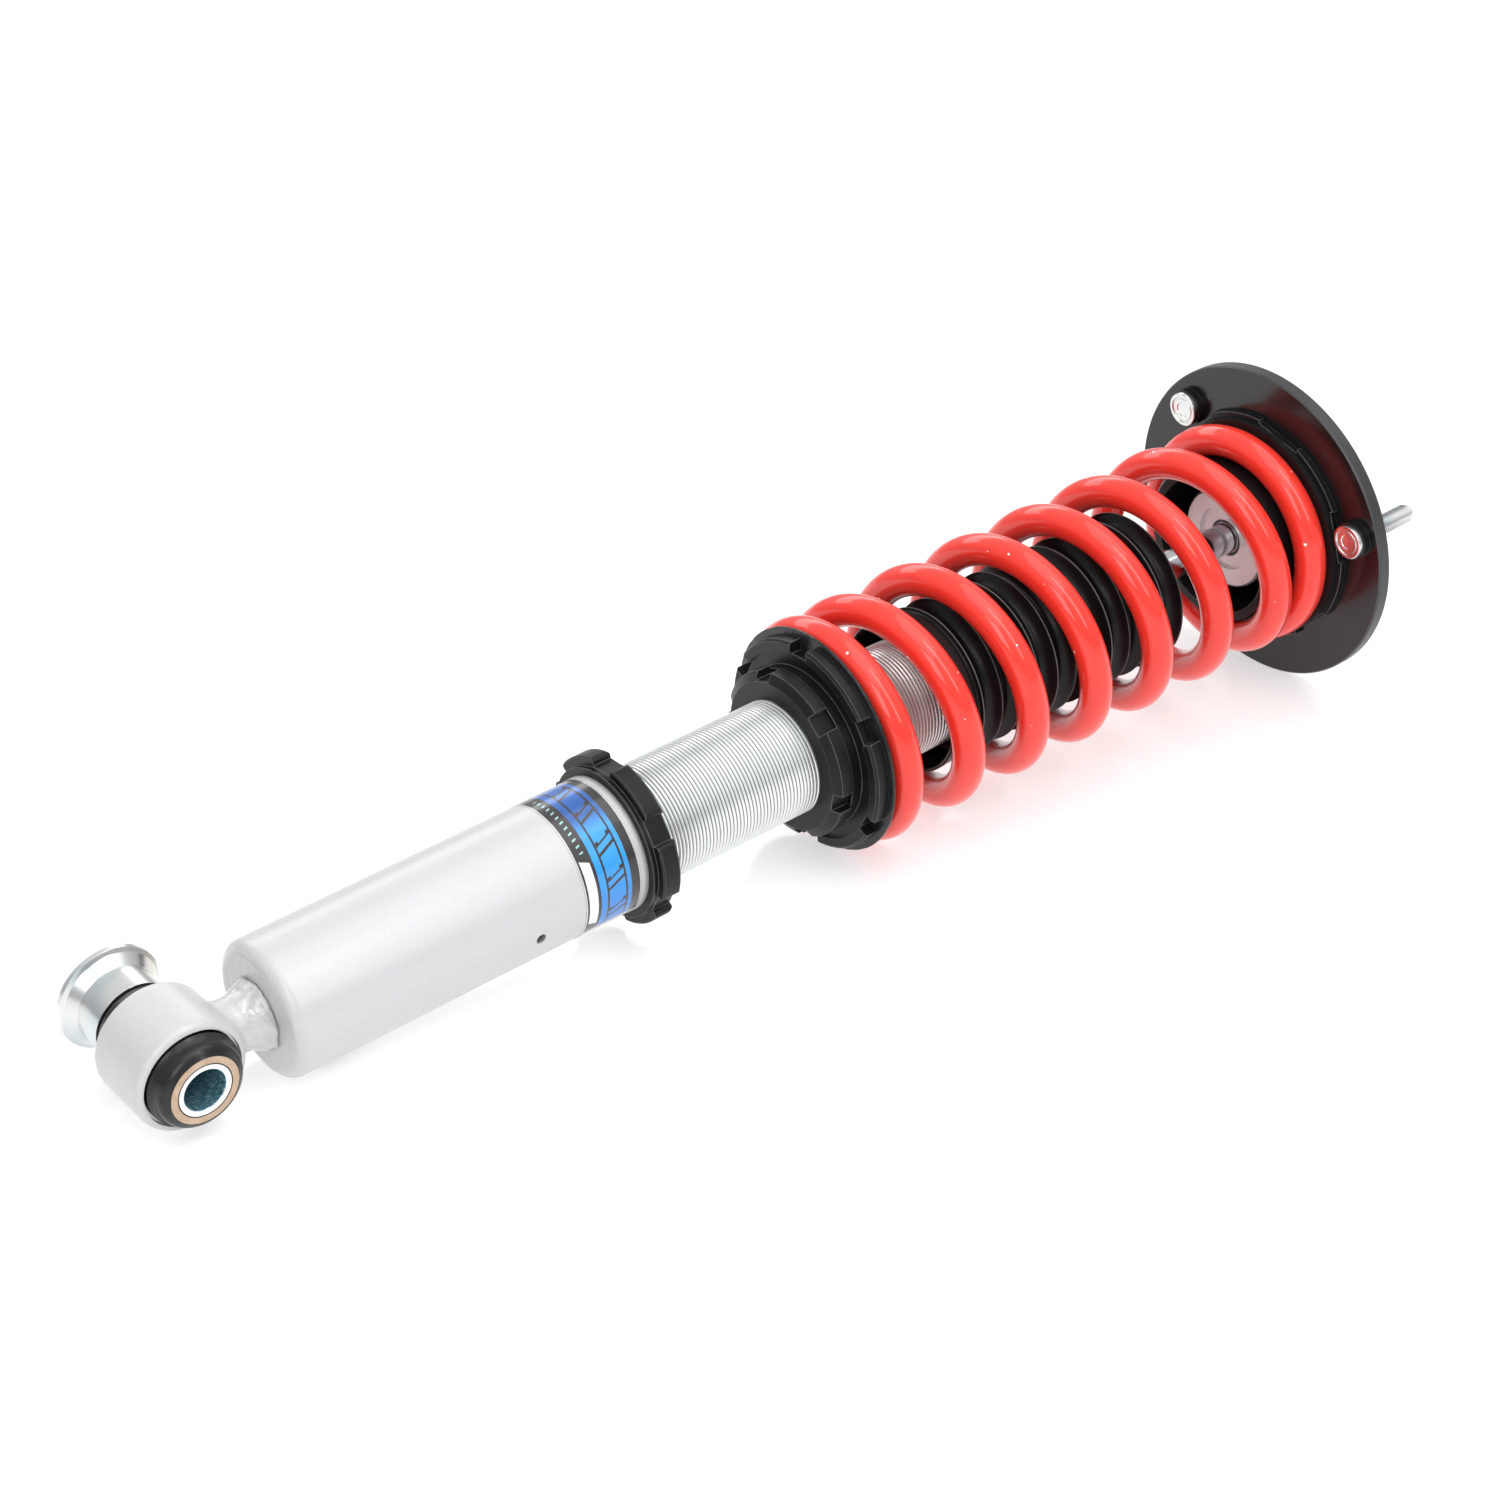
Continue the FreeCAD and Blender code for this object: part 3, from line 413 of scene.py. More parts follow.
def gloss_black():
    """The top plate: glossy black faces and a satin grey rim."""
    tree, shader = new_material("gloss_black_finish")
    stood = standing(tree)[0]
    plain = add(tree, "ShaderNodeNewGeometry", {})["Normal"]
    facing = add(tree, "ShaderNodeVectorMath", {0: plain, 1: ALONG[:]}, operation="DOT_PRODUCT")["Value"]
    upright = calc(tree, "ABSOLUTE", facing)
    parts = add(tree, "ShaderNodeSeparateXYZ", {"Vector": stood})
    radius = distance_from(tree, parts[0], parts[1])
    outside = calc(tree, "GREATER_THAN", radius, PLATE_RADIUS - 1.2 * MM)
    rim = calc(tree, "MULTIPLY", outside, calc(tree, "LESS_THAN", upright, 0.9))
    smear = add(tree, "ShaderNodeTexNoise", {"Vector": stood, "Scale": 35.0, "Detail": 6.0})["Fac"]
    marks = turning_marks(tree, 0.4 * MM)
    gloss = spread(tree, smear, 0.10, 0.24)
    rough = calc(tree, "ADD", gloss, calc(tree, "MULTIPLY", rim, 0.22))
    set_inputs(tree, shader, {
        "Base Color": mixed(tree, rim, (0.008, 0.008, 0.009), (0.075, 0.075, 0.079)),
        "Metallic": calc(tree, "MULTIPLY", rim, 0.7), "Roughness": rough, "Specular IOR Level": 0.5,
        "Normal": bumped(tree, marks, calc(tree, "MULTIPLY_ADD", rim, 0.012 * MM, 0.002 * MM),
                         soft_edges(tree, 0.4 * MM)[0])})


def rubber_like(name, dark, pale, roughness, grain_depth):
    """Moulded black rubber with a fine grain and a faint bloom."""
    tree, shader = new_material(name)
    stood = standing(tree)[0]
    grain = add(tree, "ShaderNodeTexNoise", {"Vector": stood, "Scale": 1500.0, "Detail": 3.0})["Fac"]
    bloom = add(tree, "ShaderNodeTexNoise", {"Vector": stood, "Scale": 55.0, "Detail": 5.0})["Fac"]
    mottle = bumped(tree, bloom, 0.5 * MM)
    set_inputs(tree, shader, {
        "Base Color": mixed(tree, bloom, dark, pale), "Roughness": spread(tree, bloom, *roughness),
        "Specular IOR Level": 0.36, "Normal": bumped(tree, grain, grain_depth, mottle)})


def rubber():
    rubber_like("rubber_finish", (0.008, 0.008, 0.009), (0.020, 0.019, 0.021), (0.16, 0.34), 0.008 * MM)


def boot_rubber():
    """Deep black rubber with a painted highlight along the seams where its ridges stand out."""
    tree, shader = new_material("boot_rubber_finish")
    stood, x, y, z = standing(tree)
    bloom = add(tree, "ShaderNodeTexNoise", {"Vector": stood, "Scale": 60.0, "Detail": 4.0})["Fac"]
    grain = add(tree, "ShaderNodeTexNoise", {"Vector": stood, "Scale": 1500.0, "Detail": 3.0})["Fac"]
    ridge = calc(tree, "GREATER_THAN", distance_from(tree, x, y), BOOT_RIDGE - 0.2 * MM)
    # Painted highlight: the seams on the ridges are coloured pale where light would catch them.
    ridge_highlight = calc(tree, "MULTIPLY", ridge, spread(tree, bloom, 0.2, 0.9))
    collar = calc(tree, "LESS_THAN", z, BOOT_MOUTH + BOOT_COLLAR)
    dark = mixed(tree, bloom, (0.003, 0.003, 0.0035), (0.007, 0.007, 0.008))
    dark = mixed(tree, collar, dark, (0.016, 0.0145, 0.015))
    set_inputs(tree, shader, {
        "Base Color": mixed(tree, ridge_highlight, dark, (0.22, 0.22, 0.22)),
        "Roughness": spread(tree, bloom, 0.24, 0.36), "Specular IOR Level": 0.2,
        "Normal": bumped(tree, grain, 0.006 * MM)})


def bronze():
    """Sintered bronze, dull and a little pitted."""
    tree, shader = new_material("bronze_finish")
    stood = standing(tree)[0]
    pits = add(tree, "ShaderNodeTexNoise", {"Vector": stood, "Scale": 900.0, "Detail": 4.0})["Fac"]
    stain = add(tree, "ShaderNodeTexNoise", {"Vector": stood, "Scale": 160.0, "Detail": 4.0})["Fac"]
    parts = add(tree, "ShaderNodeSeparateXYZ", {"Vector": standing(tree, BORE)[0]})
    seam = calc(tree, "LESS_THAN", distance_from(tree, parts[0], parts[2]), SLEEVE_BORE + 0.3 * MM)
    tan = ramp(tree, stain, [
        (0.35, (0.50, 0.35, 0.24)), (0.6, (0.60, 0.45, 0.33)), (0.8, (0.52, 0.32, 0.20))])
    set_inputs(tree, shader, {
        "Base Color": mixed(tree, seam, tan, (0.03, 0.026, 0.022)),
        "Metallic": 0.3, "Roughness": spread(tree, pits, 0.4, 0.62),
        "Normal": bumped(tree, pits, 0.04 * MM, soft_edges(tree, 0.3 * MM)[0])})


def metal(name, dark, pale, roughness, spacing, depth, bare=1.0):
    """Turned bare metal."""
    tree, shader = new_material(name)
    stood = standing(tree)[0]
    stain = add(tree, "ShaderNodeTexNoise", {"Vector": stood, "Scale": 70.0, "Detail": 5.0})["Fac"]
    marks = turning_marks(tree, spacing)
    set_inputs(tree, shader, {
        "Base Color": mixed(tree, stain, dark, pale), "Metallic": bare,
        "Roughness": spread(tree, marks, *roughness),
        "Normal": bumped(tree, marks, depth, soft_edges(tree, 0.3 * MM)[0])})


def hard_chrome():
    metal("hard_chrome_finish", (0.50, 0.51, 0.54), (0.60, 0.61, 0.63), (0.07, 0.14), 0.3 * MM, 0.002 * MM)


def steel():
    metal("steel_finish", (0.40, 0.40, 0.41), (0.55, 0.55, 0.56), (0.25, 0.42), 0.4 * MM, 0.01 * MM)


def aluminium():
    metal("aluminium_finish", (0.78, 0.86, 0.88), (0.88, 0.94, 0.95), (0.30, 0.42), 0.6 * MM, 0.03 * MM,
          bare=0.55)


def foam():
    """Closed-cell foam."""
    tree, shader = new_material("foam_finish")
    cells = add(tree, "ShaderNodeTexVoronoi", {"Vector": standing(tree)[0], "Scale": 1400.0})["Distance"]
    set_inputs(tree, shader, {
        "Base Color": ramp(tree, cells, [(0.1, (0.45, 0.36, 0.14)), (0.5, (0.72, 0.60, 0.28))]),
        "Roughness": 0.8, "Normal": bumped(tree, cells, 0.1 * MM)})


def ptfe():
    """Filled PTFE, brown and waxy."""
    tree, shader = new_material("ptfe_finish")
    stood = standing(tree)[0]
    speckle = add(tree, "ShaderNodeTexNoise", {"Vector": stood, "Scale": 900.0, "Detail": 3.0})["Fac"]
    set_inputs(tree, shader, {
        "Base Color": mixed(tree, speckle, (0.14, 0.10, 0.07), (0.26, 0.20, 0.15)),
        "Roughness": 0.5, "Normal": bumped(tree, speckle, 0.01 * MM)})


def strokes(tree, arc, across, lean, beat, width, low, high):
    """Slanted bars in a band: one bar of some width in every beat of arc."""
    shifted = calc(tree, "MULTIPLY_ADD", across, lean, arc)
    place = calc(tree, "MULTIPLY", calc(tree, "FRACT", calc(tree, "DIVIDE", shifted, beat)), beat)
    return calc(tree, "MULTIPLY", between(tree, place, 0.0, width), between(tree, across, low, high))


def label():
    """A printed band: blue between dark stripes, with a plain lattice, a row of ticks and a white block. The blue
    changes round the band, partly as print and partly as painted reflection.
    """
    tree, shader = new_material("label_finish")
    stood, x, y, z = standing(tree)
    low, high, radius = extent("casing_label")[:3]
    across = calc(tree, "DIVIDE", calc(tree, "SUBTRACT", z, low), high - low)
    turn = calc(tree, "ARCTAN2", calc(tree, "MULTIPLY", y, -1.0), calc(tree, "MULTIPLY", x, -1.0))
    arc = calc(tree, "MULTIPLY", turn, radius)
    film = add(tree, "ShaderNodeTexNoise", {"Vector": stood, "Scale": 60.0, "Detail": 2.0})["Fac"]
    # The blue follows the angle round the casing: partly a printed gradient, partly a painted reflection of the
    # lamps.
    place = add(tree, "ShaderNodeMapRange", {"Value": turn, "From Min": -0.6, "From Max": 2.2})["Result"]
    blue = ramp(tree, place, [
        (0.05, (0.030, 0.16, 0.56)), (0.22, (0.025, 0.13, 0.46)), (0.36, (0.012, 0.09, 0.34)),
        (0.46, (0.040, 0.32, 0.80)), (0.62, (0.035, 0.36, 0.86)), (0.90, (0.020, 0.22, 0.68))])
    ink = (0.030, 0.026, 0.028)
    rails = calc(tree, "ADD", between(tree, across, 0.385, 0.42), between(tree, across, 0.72, 0.755))
    bars = strokes(tree, arc, across, 13 * MM, 17 * MM, 2.2 * MM, 0.40, 0.74)
    thin = strokes(tree, arc, across, 13 * MM, 17 * MM, 1.2 * MM, 0.48, 0.66)
    pair = calc(tree, "MAXIMUM", bars, strokes(tree, calc(tree, "SUBTRACT", arc, 5 * MM), across, 13 * MM,
                                               17 * MM, 1.5 * MM, 0.40, 0.74))
    lattice = calc(tree, "MAXIMUM", rails, pair)
    colour = mixed(tree, calc(tree, "MULTIPLY", lattice, calc(tree, "SUBTRACT", 1.0, thin)), blue, ink)
    stripes = calc(tree, "ADD", between(tree, across, 0.0, 0.27), between(tree, across, 0.83, 1.0))
    colour = mixed(tree, stripes, colour, ink)
    ticks = calc(tree, "MULTIPLY", strokes(tree, arc, across, 9 * MM, 3.4 * MM, 0.9 * MM, 0.12, 0.19),
                 between(tree, arc, -8 * MM, 30 * MM))
    colour = mixed(tree, ticks, colour, (0.35, 0.62, 0.60))
    block = calc(tree, "MULTIPLY", between(tree, across, 0.055, 0.215),
                 between(tree, calc(tree, "MULTIPLY_ADD", across, -14 * MM, arc), 32 * MM, 66 * MM))
    colour = mixed(tree, block, colour, (0.88, 0.88, 0.90))
    edges = calc(tree, "SUBTRACT", 1.0, between(tree, across, 0.02, 0.98))
    colour = mixed(tree, edges, colour, (0.62, 0.64, 0.66))
    inked = between(tree, turn, -LABEL_END, LABEL_END)
    paint = paint_colour(tree, stood)[0]
    set_inputs(tree, shader, {
        "Base Color": mixed(tree, inked, paint, colour), "Metallic": spread(tree, inked, 0.3, 0.2),
        "Roughness": calc(tree, "MULTIPLY_ADD", inked, -0.14, spread(tree, film, 0.38, 0.44)),
        "Coat Weight": 0.5, "Coat Roughness": 0.1, "Normal": bumped(tree, film, 0.02 * MM)})


# ---------------------------------------------------------------- mesh helpers

def seen_from(node, place):
    """A CAD node's points, seen from the standing frame or from the eye's."""
    back = place.inverted()
    return [back @ vertex.co for vertex in frame["nodes"][node].data.vertices]


def extent(node):
    """A CAD node's lowest and highest stand, and its largest and smallest distance from the axis."""
    spots = seen_from(node, STANDING)
    stands = [spot.z for spot in spots]
    radii = [math.hypot(spot.x, spot.y) for spot in spots]
    return min(stands), max(stands), max(radii), min(radii)


def rounded(corners, steps=5):
    """An outline with rounded corners; each corner is (radius, stand, fillet)."""
    points = []
    count = len(corners)
    for number, (across, up, fillet) in enumerate(corners):
        here = Vector((across, up))
        if not fillet:
            points.append(here)
            continue
        back = (Vector(corners[number - 1][:2]) - here).normalized()
        on = (Vector(corners[(number + 1) % count][:2]) - here).normalized()
        half = back.angle(on) / 2
        centre = here + (back + on).normalized() * (fillet / math.sin(half))
        first = here + back * (fillet / math.tan(half)) - centre
        last = here + on * (fillet / math.tan(half)) - centre
        points += [centre + first.slerp(last, step / steps) * fillet for step in range(steps + 1)]
    return points


def ring_at(bm, across, up, steps, about_bore=False, middle=(0.0, 0.0)):
    """A ring of vertices round the damper's axis, or round the eye's bore."""
    ring = []
    for step in range(steps):
        angle = 2 * math.pi * step / steps
        flat = (across * math.cos(angle), across * math.sin(angle))
        spot = (flat[1], up, flat[0]) if about_bore else (middle[0] + flat[0], middle[1] + flat[1], up)
        ring.append(bm.verts.new(spot))
    return ring


def bridge(bm, first, second):
    """A band of faces between two rings."""
    count = len(first)
    for step in range(count):
        after = (step + 1) % count
        bm.faces.new((first[step], first[after], second[after], second[step]))


def spun(bm, outline, steps=128, about_bore=False, middle=(0.0, 0.0)):
    """A closed outline of (radius, stand) turned into a ring."""
    rings = [ring_at(bm, across, up, steps, about_bore, middle) for across, up in outline]
    for number, ring in enumerate(rings):
        bridge(bm, ring, rings[(number + 1) % len(rings)])


def thread_on(bm, crest, depth, pitch, start, end, steps, middle=(0.0, 0.0)):
    """A helical thread that runs out at both ends; returns its plain end rings."""
    profile = (0.0, 0.7, 1.0, 1.0, 1.0, 0.7)
    rows = len(profile)
    margin = pitch / rows
    low = start + margin
    count = int((end - start - 2 * margin - pitch) / pitch * rows)
    high = low + pitch * (count / rows + 1)
    root = crest - depth
    grid = []
    for row in range(count + 1):
        line = []
        for step in range(steps):
            up = low + pitch * (row / rows + step / steps)
            fade = min(1.0, (up - low) / pitch, (high - up) / pitch)
            across = root + depth * profile[row % rows] * max(0.0, fade)
            angle = 2 * math.pi * step / steps
            line.append(bm.verts.new((middle[0] + across * math.cos(angle),
                                      middle[1] + across * math.sin(angle), up)))
        grid.append(line)
    for line, above in zip(grid, grid[1:]):
        for step in range(steps - 1):
            bm.faces.new((line[step], line[step + 1], above[step + 1], above[step]))
    for row in range(count - rows):
        bm.faces.new((grid[row][-1], grid[row + rows][0], grid[row + rows + 1][0], grid[row + 1][-1]))
    bottom = ring_at(bm, root, start, steps, middle=middle)
    top = ring_at(bm, root, max(end, high + margin), steps, middle=middle)
    for step in range(steps - 1):
        bm.faces.new((bottom[step], bottom[step + 1], grid[0][step + 1], grid[0][step]))
        bm.faces.new((grid[-1][step], grid[-1][step + 1], top[step + 1], top[step]))
    rise = [grid[row][0] for row in range(rows + 1)]
    bm.faces.new([bottom[-1], bottom[0]] + rise + [grid[0][-1]])
    fall = [grid[row][-1] for row in range(count, count - rows, -1)]
    bm.faces.new([grid[count - rows][-1], grid[-1][0], top[0], top[-1]] + fall)
    return bottom, top


def piece(bm, name, body, finish, replaced=(), place=STANDING):
    """Lay a drawn piece down and let it ride on a CAD body."""
    bmesh.ops.recalc_face_normals(bm, faces=bm.faces)
    mesh = bpy.data.meshes.new(name)
    bm.to_mesh(mesh)
    bm.free()
    mesh.transform(place)
    mesh.shade_smooth()
    mesh.set_sharp_from_angle(angle=math.radians(38))
    mesh.materials.append(bpy.data.materials[finish])
    made = bpy.data.objects.new(name, mesh)
    bpy.context.scene.collection.objects.link(made)
    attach(made, body)
    if replaced:
        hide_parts(*replaced)
    return made


# ---------------------------------------------------------------- pieces

TUBE_PITCH = 2.0 * MM
TUBE_THREAD_DEPTH = 1.0 * MM
THREADED_LENGTH = 245 * MM
STUD_PITCH = 1.5 * MM
STUD_THREAD_DEPTH = 0.85 * MM
STUD_HEAD_RADIUS = 9.0 * MM
STUD_SHOULDER = 5.5 * MM
WIRE_RADIUS = 8.1 * MM
COIL_GAP = 1.0 * MM
WIRE_TIP_ROUND = 1.2 * MM
SPRING_TURNS = 7.8
SPRING_TIP = math.radians(52)
STUD_TURN = math.radians(16.2)
STUD_HEAD = 2.8 * MM
BOOT_COLLAR = 15.6 * MM
BOOT_GROOVE = 1.85 * MM
BOOT_FOLDS = 11
BOOT_NECK = 12 * MM
BOOT_WALL = 1.6 * MM
BOOT_FOLD_DEPTH = 5.6 * MM
BOOT_SEAM = 0.4 * MM
LABEL_END = math.radians(128)
NECK_START = 19 * MM
NECK_WAIST_AT = 31 * MM
NECK_WAIST = 13.2 * MM
NECK_ROOT = 3.6 * MM
NECK_FLARE = 4.6 * MM
WELD_LUMP = 1.3 * MM
EYE_ROUND = 3.0 * MM


def make_tube():
    """The damper tube with its fine outside thread."""
    low, high, crest, bore = extent("damper_tube")
    bm = bmesh.new()
    steps = 144
    start = high - THREADED_LENGTH
    bottom, top = thread_on(bm, crest, TUBE_THREAD_DEPTH, TUBE_PITCH, start, high - 1 * MM, steps)
    root = crest - TUBE_THREAD_DEPTH
    chain = [bottom, ring_at(bm, root, low + 1 * MM, steps), ring_at(bm, root - 1 * MM, low, steps),
             ring_at(bm, bore, low, steps), ring_at(bm, bore, high, steps),
             ring_at(bm, root - 0.5 * MM, high, steps), top]
    for first, second in zip(chain, chain[1:]):
        bridge(bm, first, second)
    piece(bm, "threaded_tube", "tube", "thread_zinc_finish", ["damper_tube"])


def wire_stand(turn, low, high):
    """The height of the wire's centre after so many turns, with both end turns closed."""
    lift = 2 * WIRE_RADIUS + COIL_GAP
    pitch = (high - low - 2 * lift) / (SPRING_TURNS - 2)
    if turn < 1:
        return low + lift * max(turn, 0.0) ** 3
    if turn > SPRING_TURNS - 1:
        return high - lift * max(SPRING_TURNS - turn, 0.0) ** 3
    return low + lift + pitch * (turn - 1)


def make_spring():
    """The coil spring: round wire with rounded tips."""
    low, high, reach = extent("coil_spring")[:3]
    coil = reach - WIRE_RADIUS
    first, last = low + WIRE_RADIUS, high - WIRE_RADIUS
    bm = bmesh.new()
    steps, round_steps = 96, 32
    total = int(SPRING_TURNS * steps)

    def spot(turn):
        angle = SPRING_TIP + 2 * math.pi * turn
        return Vector((coil * math.cos(angle), coil * math.sin(angle), wire_stand(turn, first, last)))

    turns = [SPRING_TURNS * step / total for step in range(total + 1)]
    length_per_turn = 2 * math.pi * coil
    sections = [(turn, 1.0) for turn in turns[1:-1]]
    for step in range(5):
        angle = math.pi / 2 * step / 4
        share = 1 - WIRE_TIP_ROUND * (1 - math.cos(angle)) / WIRE_RADIUS
        inset = WIRE_TIP_ROUND * (1 - math.sin(angle)) / length_per_turn
        sections.insert(0, (inset, share))
        sections.append((SPRING_TURNS - inset, share))
    rings = []
    for turn, share in sections:
        centre = spot(turn)
        ahead = (spot(turn + 0.001) - spot(turn - 0.001)).normalized()
        outward = Vector((centre.x, centre.y, 0)).normalized()
        upward = ahead.cross(outward).normalized()
        outward = upward.cross(ahead).normalized()
        rings.append([
            bm.verts.new(centre + WIRE_RADIUS * share * (
                math.cos(2 * math.pi * step / round_steps) * outward
                + math.sin(2 * math.pi * step / round_steps) * upward))
            for step in range(round_steps)])
    for before, after in zip(rings, rings[1:]):
        bridge(bm, before, after)
    bm.faces.new(rings[0])
    bm.faces.new(rings[-1])
    spring = piece(bm, "red_spring", "tube", "red_powder_coat_finish", ["coil_spring"])
    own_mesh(spring)


def make_boot():
    """The bellows: an open-mouthed collar, folds with thin seams on their ridges, and a snug neck."""
    low, high, ridge, inside = extent("dust_boot")
    first = low + BOOT_COLLAR + 2 * BOOT_GROOVE
    last = high - BOOT_NECK
    fold = (last - first) / BOOT_FOLDS
    skin = ridge - BOOT_SEAM
    outer = [(skin - 0.6 * MM, low), (skin, low + 0.6 * MM), (skin, low + 3.0 * MM),
             (skin - 0.3 * MM, low + 3.3 * MM), (skin - 0.3 * MM, low + BOOT_COLLAR - 0.5 * MM)]
    for step in range(1, 8):
        share = step / 8
        outer.append((skin - BOOT_GROOVE * math.sin(math.pi * share),
                      low + BOOT_COLLAR + 2 * BOOT_GROOVE * share))
    valleys = []
    for number in range(BOOT_FOLDS + 1):
        crest = first + fold * number
        outer += [(skin, crest - 0.5 * MM), (ridge, crest - 0.2 * MM), (ridge, crest + 0.2 * MM),
                  (skin, crest + 0.5 * MM)]
        if number == BOOT_FOLDS:
            break
        for step in range(1, 16):
            share = step / 16
            valley = (skin - BOOT_FOLD_DEPTH * math.sin(math.pi * share) ** 0.8,
                      crest + 0.5 * MM + (fold - 1.0 * MM) * share)
            outer.append(valley)
            valleys.append(valley)
    hub = inside + BOOT_WALL + 0.4 * MM
    for step in range(1, 7):
        angle = math.pi / 2 * step / 6
        outer.append((hub + (skin - hub) * math.cos(angle), last + 0.5 * MM + 3 * MM * math.sin(angle)))
    outer += [(hub, high - 0.5 * MM), (hub - 0.5 * MM, high)]
    inner = [(inside, high), (inside, last + 3.5 * MM - BOOT_WALL),
             (skin - 2 * BOOT_WALL, last + 2.6 * MM - BOOT_WALL)]
    inner += [(across - BOOT_WALL, up) for across, up in reversed(valleys)]
    inner += [(skin - BOOT_WALL, low + BOOT_COLLAR - 2 * MM), (skin - BOOT_WALL, low + 0.4 * MM)]
    bm = bmesh.new()
    spun(bm, outer + inner, steps=160)
    boot = piece(bm, "bellows_boot", "tube", "boot_rubber_finish", ["dust_boot"])
    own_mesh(boot)


def bore_extent(node):
    """A CAD node's nearest and furthest place along the bore, and its largest and smallest radius there."""
    spots = seen_from(node, BORE)
    places = [spot.y for spot in spots]
    radii = [math.hypot(spot.x, spot.z) for spot in spots]
    return min(places), max(places), max(radii), min(radii)


def draw_eye(ring, half, core, top):
    """The rough shape of the eye: a rounded disc and a waisted neck with a lumpy end, not yet joined."""
    bm = bmesh.new()
    outline = rounded([
        (core, -half, 0), (ring, -half, EYE_ROUND), (ring, half, EYE_ROUND), (core, half, 0)], 6)
    spun(bm, outline, steps=180, about_bore=True)
    rings = []
    rows = 40
    for row in range(rows + 1):
        up = NECK_START + (top - NECK_START) * row / rows
        below = max(0.0, (NECK_WAIST_AT - up) / (NECK_WAIST_AT - NECK_START))
        above = max(0.0, (up - NECK_WAIST_AT) / (top - NECK_WAIST_AT))
        across = NECK_WAIST + NECK_ROOT * below ** 1.6 + NECK_FLARE * above ** 1.5
        made = ring_at(bm, across, up, 96)
        for vertex in made:
            lump = noise.noise(vertex.co * 190.0) + 0.5 * noise.noise(vertex.co * 420.0)
            vertex.co.xy *= 1 + WELD_LUMP * lump * min(1.0, 1.6 * above) / across
        rings.append(made)
    for first, second in zip(rings, rings[1:]):
        bridge(bm, first, second)
    bm.faces.new(rings[0])
    bm.faces.new(rings[-1])
    bmesh.ops.recalc_face_normals(bm, faces=bm.faces)
    return bm


def scratch_object(bm, name):
    """A passing object that holds a drawn mesh."""
    mesh = bpy.data.meshes.new(name)
    bm.to_mesh(mesh)
    bm.free()
    made = bpy.data.objects.new(name, mesh)
    bpy.context.scene.collection.objects.link(made)
    return made


def keep_one_skin(bm):
    """Weld slivers shut and drop every scrap that isn't joined to the largest skin."""
    bmesh.ops.remove_doubles(bm, verts=bm.verts, dist=0.02 * MM)
    bmesh.ops.dissolve_degenerate(bm, edges=bm.edges, dist=0.01 * MM)
    loose = set(bm.faces)
    skins = []
    while loose:
        skin = {loose.pop()}
        edge_of_skin = list(skin)
        while edge_of_skin:
            face = edge_of_skin.pop()
            for edge in face.edges:
                for other in edge.link_faces:
                    if other in loose:
                        loose.remove(other)
                        skin.add(other)
                        edge_of_skin.append(other)
        skins.append(skin)
    skins.sort(key=len)
    scraps = [face for skin in skins[:-1] for face in skin]
    bmesh.ops.delete(bm, geom=scraps, context="FACES")


def make_eye():
    """The eye ring and its neck in one skin, blended where they meet, then bored for the bush."""
    eye_low, eye_high = extent("eye_mount")[:2]
    half = bore_extent("eye_mount")[1]
    shell = bore_extent("bush_shell")[2]
    rough = scratch_object(draw_eye(-eye_low, half, shell / 2, eye_high), "eye_rough")
    bm = bmesh.new()
    bmesh.ops.create_cone(bm, cap_ends=True, segments=160, radius1=shell, radius2=shell, depth=4 * half,
                          matrix=Matrix.Rotation(math.pi / 2, 4, "X"))
    cutter = scratch_object(bm, "eye_cutter")
    one_skin = rough.modifiers.new("one_skin", "REMESH")
    one_skin.mode = "VOXEL"
    one_skin.voxel_size = 0.7 * MM
    blend = rough.modifiers.new("blend", "SMOOTH")
    blend.factor = 0.5
    blend.iterations = 12
    hole = rough.modifiers.new("hole", "BOOLEAN")
    hole.operation = "DIFFERENCE"
    hole.solver = "EXACT"
    hole.object = cutter
    baked = bpy.data.meshes.new_from_object(rough.evaluated_get(bpy.context.evaluated_depsgraph_get()))
    bpy.data.objects.remove(rough)
    bpy.data.objects.remove(cutter)
    bm = bmesh.new()
    bm.from_mesh(baked)
    keep_one_skin(bm)
    piece(bm, "eye_casting", "casing", "silver_paint_finish", ["eye_mount"], BORE)


def make_bush_rubber():
    """The rubber of the eye bush, coming out of the eye at both ends as a swollen cone."""
    low, _, wide, narrow = bore_extent("bush_rubber")
    mouth = bore_extent("eye_mount")[1]
    nose = narrow + 0.55 * MM
    outline = [(narrow, low + 0.2 * MM), (nose - 0.2 * MM, low), (nose, low + 0.25 * MM)]
    steps = 14
    for step in range(1, steps + 1):
        share = step / steps
        up = low + 0.25 * MM + (-mouth - 0.5 * MM - low) * share
        outline.append((nose + (wide - nose) * share ** 0.6 + 0.5 * MM * math.sin(2 * math.pi * share), up))
    outline.append((wide - 0.7 * MM, -mouth + 0.6 * MM))
    outline += [(across, -up) for across, up in reversed(outline)]
    bm = bmesh.new()
    spun(bm, outline, steps=96, about_bore=True)
    piece(bm, "bush_rubber_ring", "casing", "rubber_finish", ["bush_rubber"], BORE)


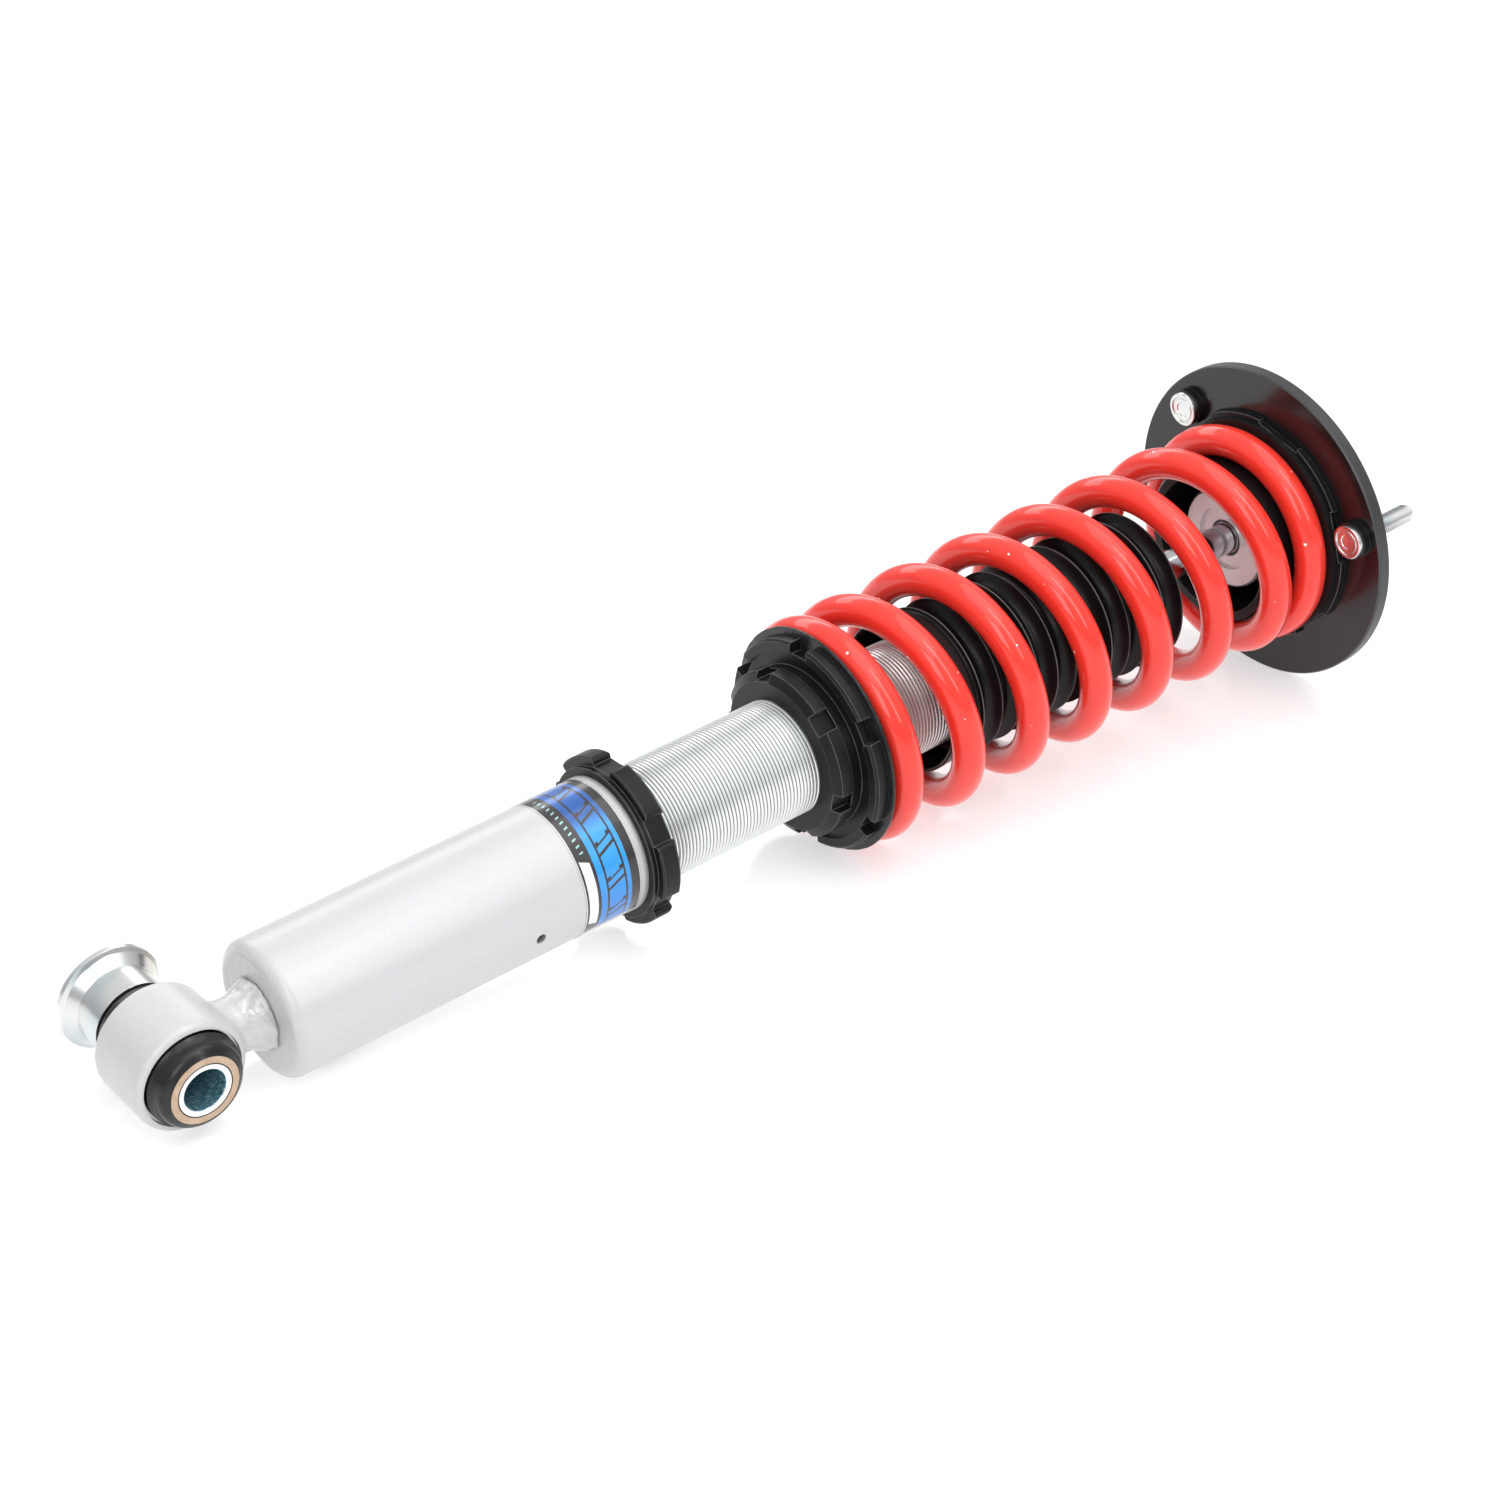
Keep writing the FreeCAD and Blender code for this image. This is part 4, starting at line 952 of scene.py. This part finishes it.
def make_studs():
    """Three studs: a round ringed head, a shoulder in the plate and a threaded end."""
    low, high = extent("mount_studs")[:2]
    plate_high = extent("top_plate")[1]
    circle = mounts["top_studs"]["dims"]["pcd_mm"] / 2 * MM
    crest = mounts["top_studs"]["dims"]["stud_r_mm"] * MM
    bm = bmesh.new()
    steps = 48
    seat = low + STUD_HEAD
    for number in range(3):
        angle = STUD_TURN + 2 * math.pi * number / 3
        middle = (circle * math.cos(angle), circle * math.sin(angle))
        bottom, top = thread_on(bm, crest, STUD_THREAD_DEPTH, STUD_PITCH, plate_high + 0.6 * MM,
                                high - 0.8 * MM, steps, middle)
        outline = [(3.6 * MM, low + 0.75 * MM), (4.0 * MM, low + 0.35 * MM), (5.9 * MM, low + 0.35 * MM),
                   (6.2 * MM, low + 0.8 * MM), (6.9 * MM, low + 0.8 * MM), (7.3 * MM, low + 0.1 * MM),
                   (STUD_HEAD_RADIUS - 0.7 * MM, low), (STUD_HEAD_RADIUS - 0.2 * MM, low + 0.25 * MM),
                   (STUD_HEAD_RADIUS, low + 0.9 * MM), (STUD_HEAD_RADIUS, seat - 0.3 * MM),
                   (STUD_HEAD_RADIUS - 0.3 * MM, seat), (STUD_SHOULDER, seat),
                   (STUD_SHOULDER, plate_high), (crest - STUD_THREAD_DEPTH, plate_high)]
        rings = [ring_at(bm, across, up, steps, middle=middle) for across, up in outline] + [bottom]
        for first, second in zip(rings, rings[1:]):
            bridge(bm, first, second)
        bm.faces.new(rings[0])
        tip = ring_at(bm, crest - 1.7 * MM, high, steps, middle=middle)
        bridge(bm, top, tip)
        bm.faces.new(tip)
    piece(bm, "plate_studs", "top_mount", "zinc_plate_finish", ["mount_studs"])


def make_pad():
    """The thin rubber pad under the spring, with a slightly ragged rim."""
    low, high, wide, narrow = extent("lower_spring_pad")
    outline = rounded([
        (narrow, low, 0), (wide, low, 0.4 * MM), (wide, high, 0.4 * MM), (narrow, high, 0)], 3)
    bm = bmesh.new()
    spun(bm, outline, steps=220)
    for vertex in bm.verts:
        across = math.hypot(vertex.co.x, vertex.co.y)
        if across > wide - 1 * MM:
            rag = noise.noise(vertex.co * 420.0) + 0.6 * noise.noise(vertex.co * 1300.0)
            vertex.co.xy *= 1 - 0.35 * MM * abs(rag) / across
    piece(bm, "spring_pad", "perch", "rubber_finish", ["lower_spring_pad"])


def finish_cad_nodes():
    """Give every CAD node the finish of its slot, and the spacer one of its own."""
    for name, node in frame["nodes"].items():
        finish = node.data.materials[0].name + "_finish"
        if name == "flanged_spacer":
            finish = "spacer_zinc_finish"
        node.data.materials[0] = bpy.data.materials[finish]


BORE_RADIUS = mounts["lower_eye_bore"]["dims"]["r_mm"] * MM
SLEEVE_BORE = bore_extent("bush_inner_sleeve")[3]
SPACER_NEAR = bore_extent("flanged_spacer")[0]
PLATE_RADIUS = extent("top_plate")[2]
TUBE_CREST = extent("damper_tube")[2]
CASING_START, CASING_RIM = extent("lower_casing")[:2]
BOOT_MOUTH = extent("dust_boot")[0]
BOOT_RIDGE = extent("dust_boot")[2]

make_camera()
make_stage()
for make_finish in (silver_paint, zinc_plate, spacer_zinc, thread_zinc, black_anodised, red_powder_coat,
                    gloss_black, rubber, boot_rubber, bronze, hard_chrome, steel, aluminium, foam, ptfe,
                    label):
    make_finish()
finish_cad_nodes()
make_tube()
make_spring()
make_boot()
make_eye()
make_bush_rubber()
make_studs()
make_pad()
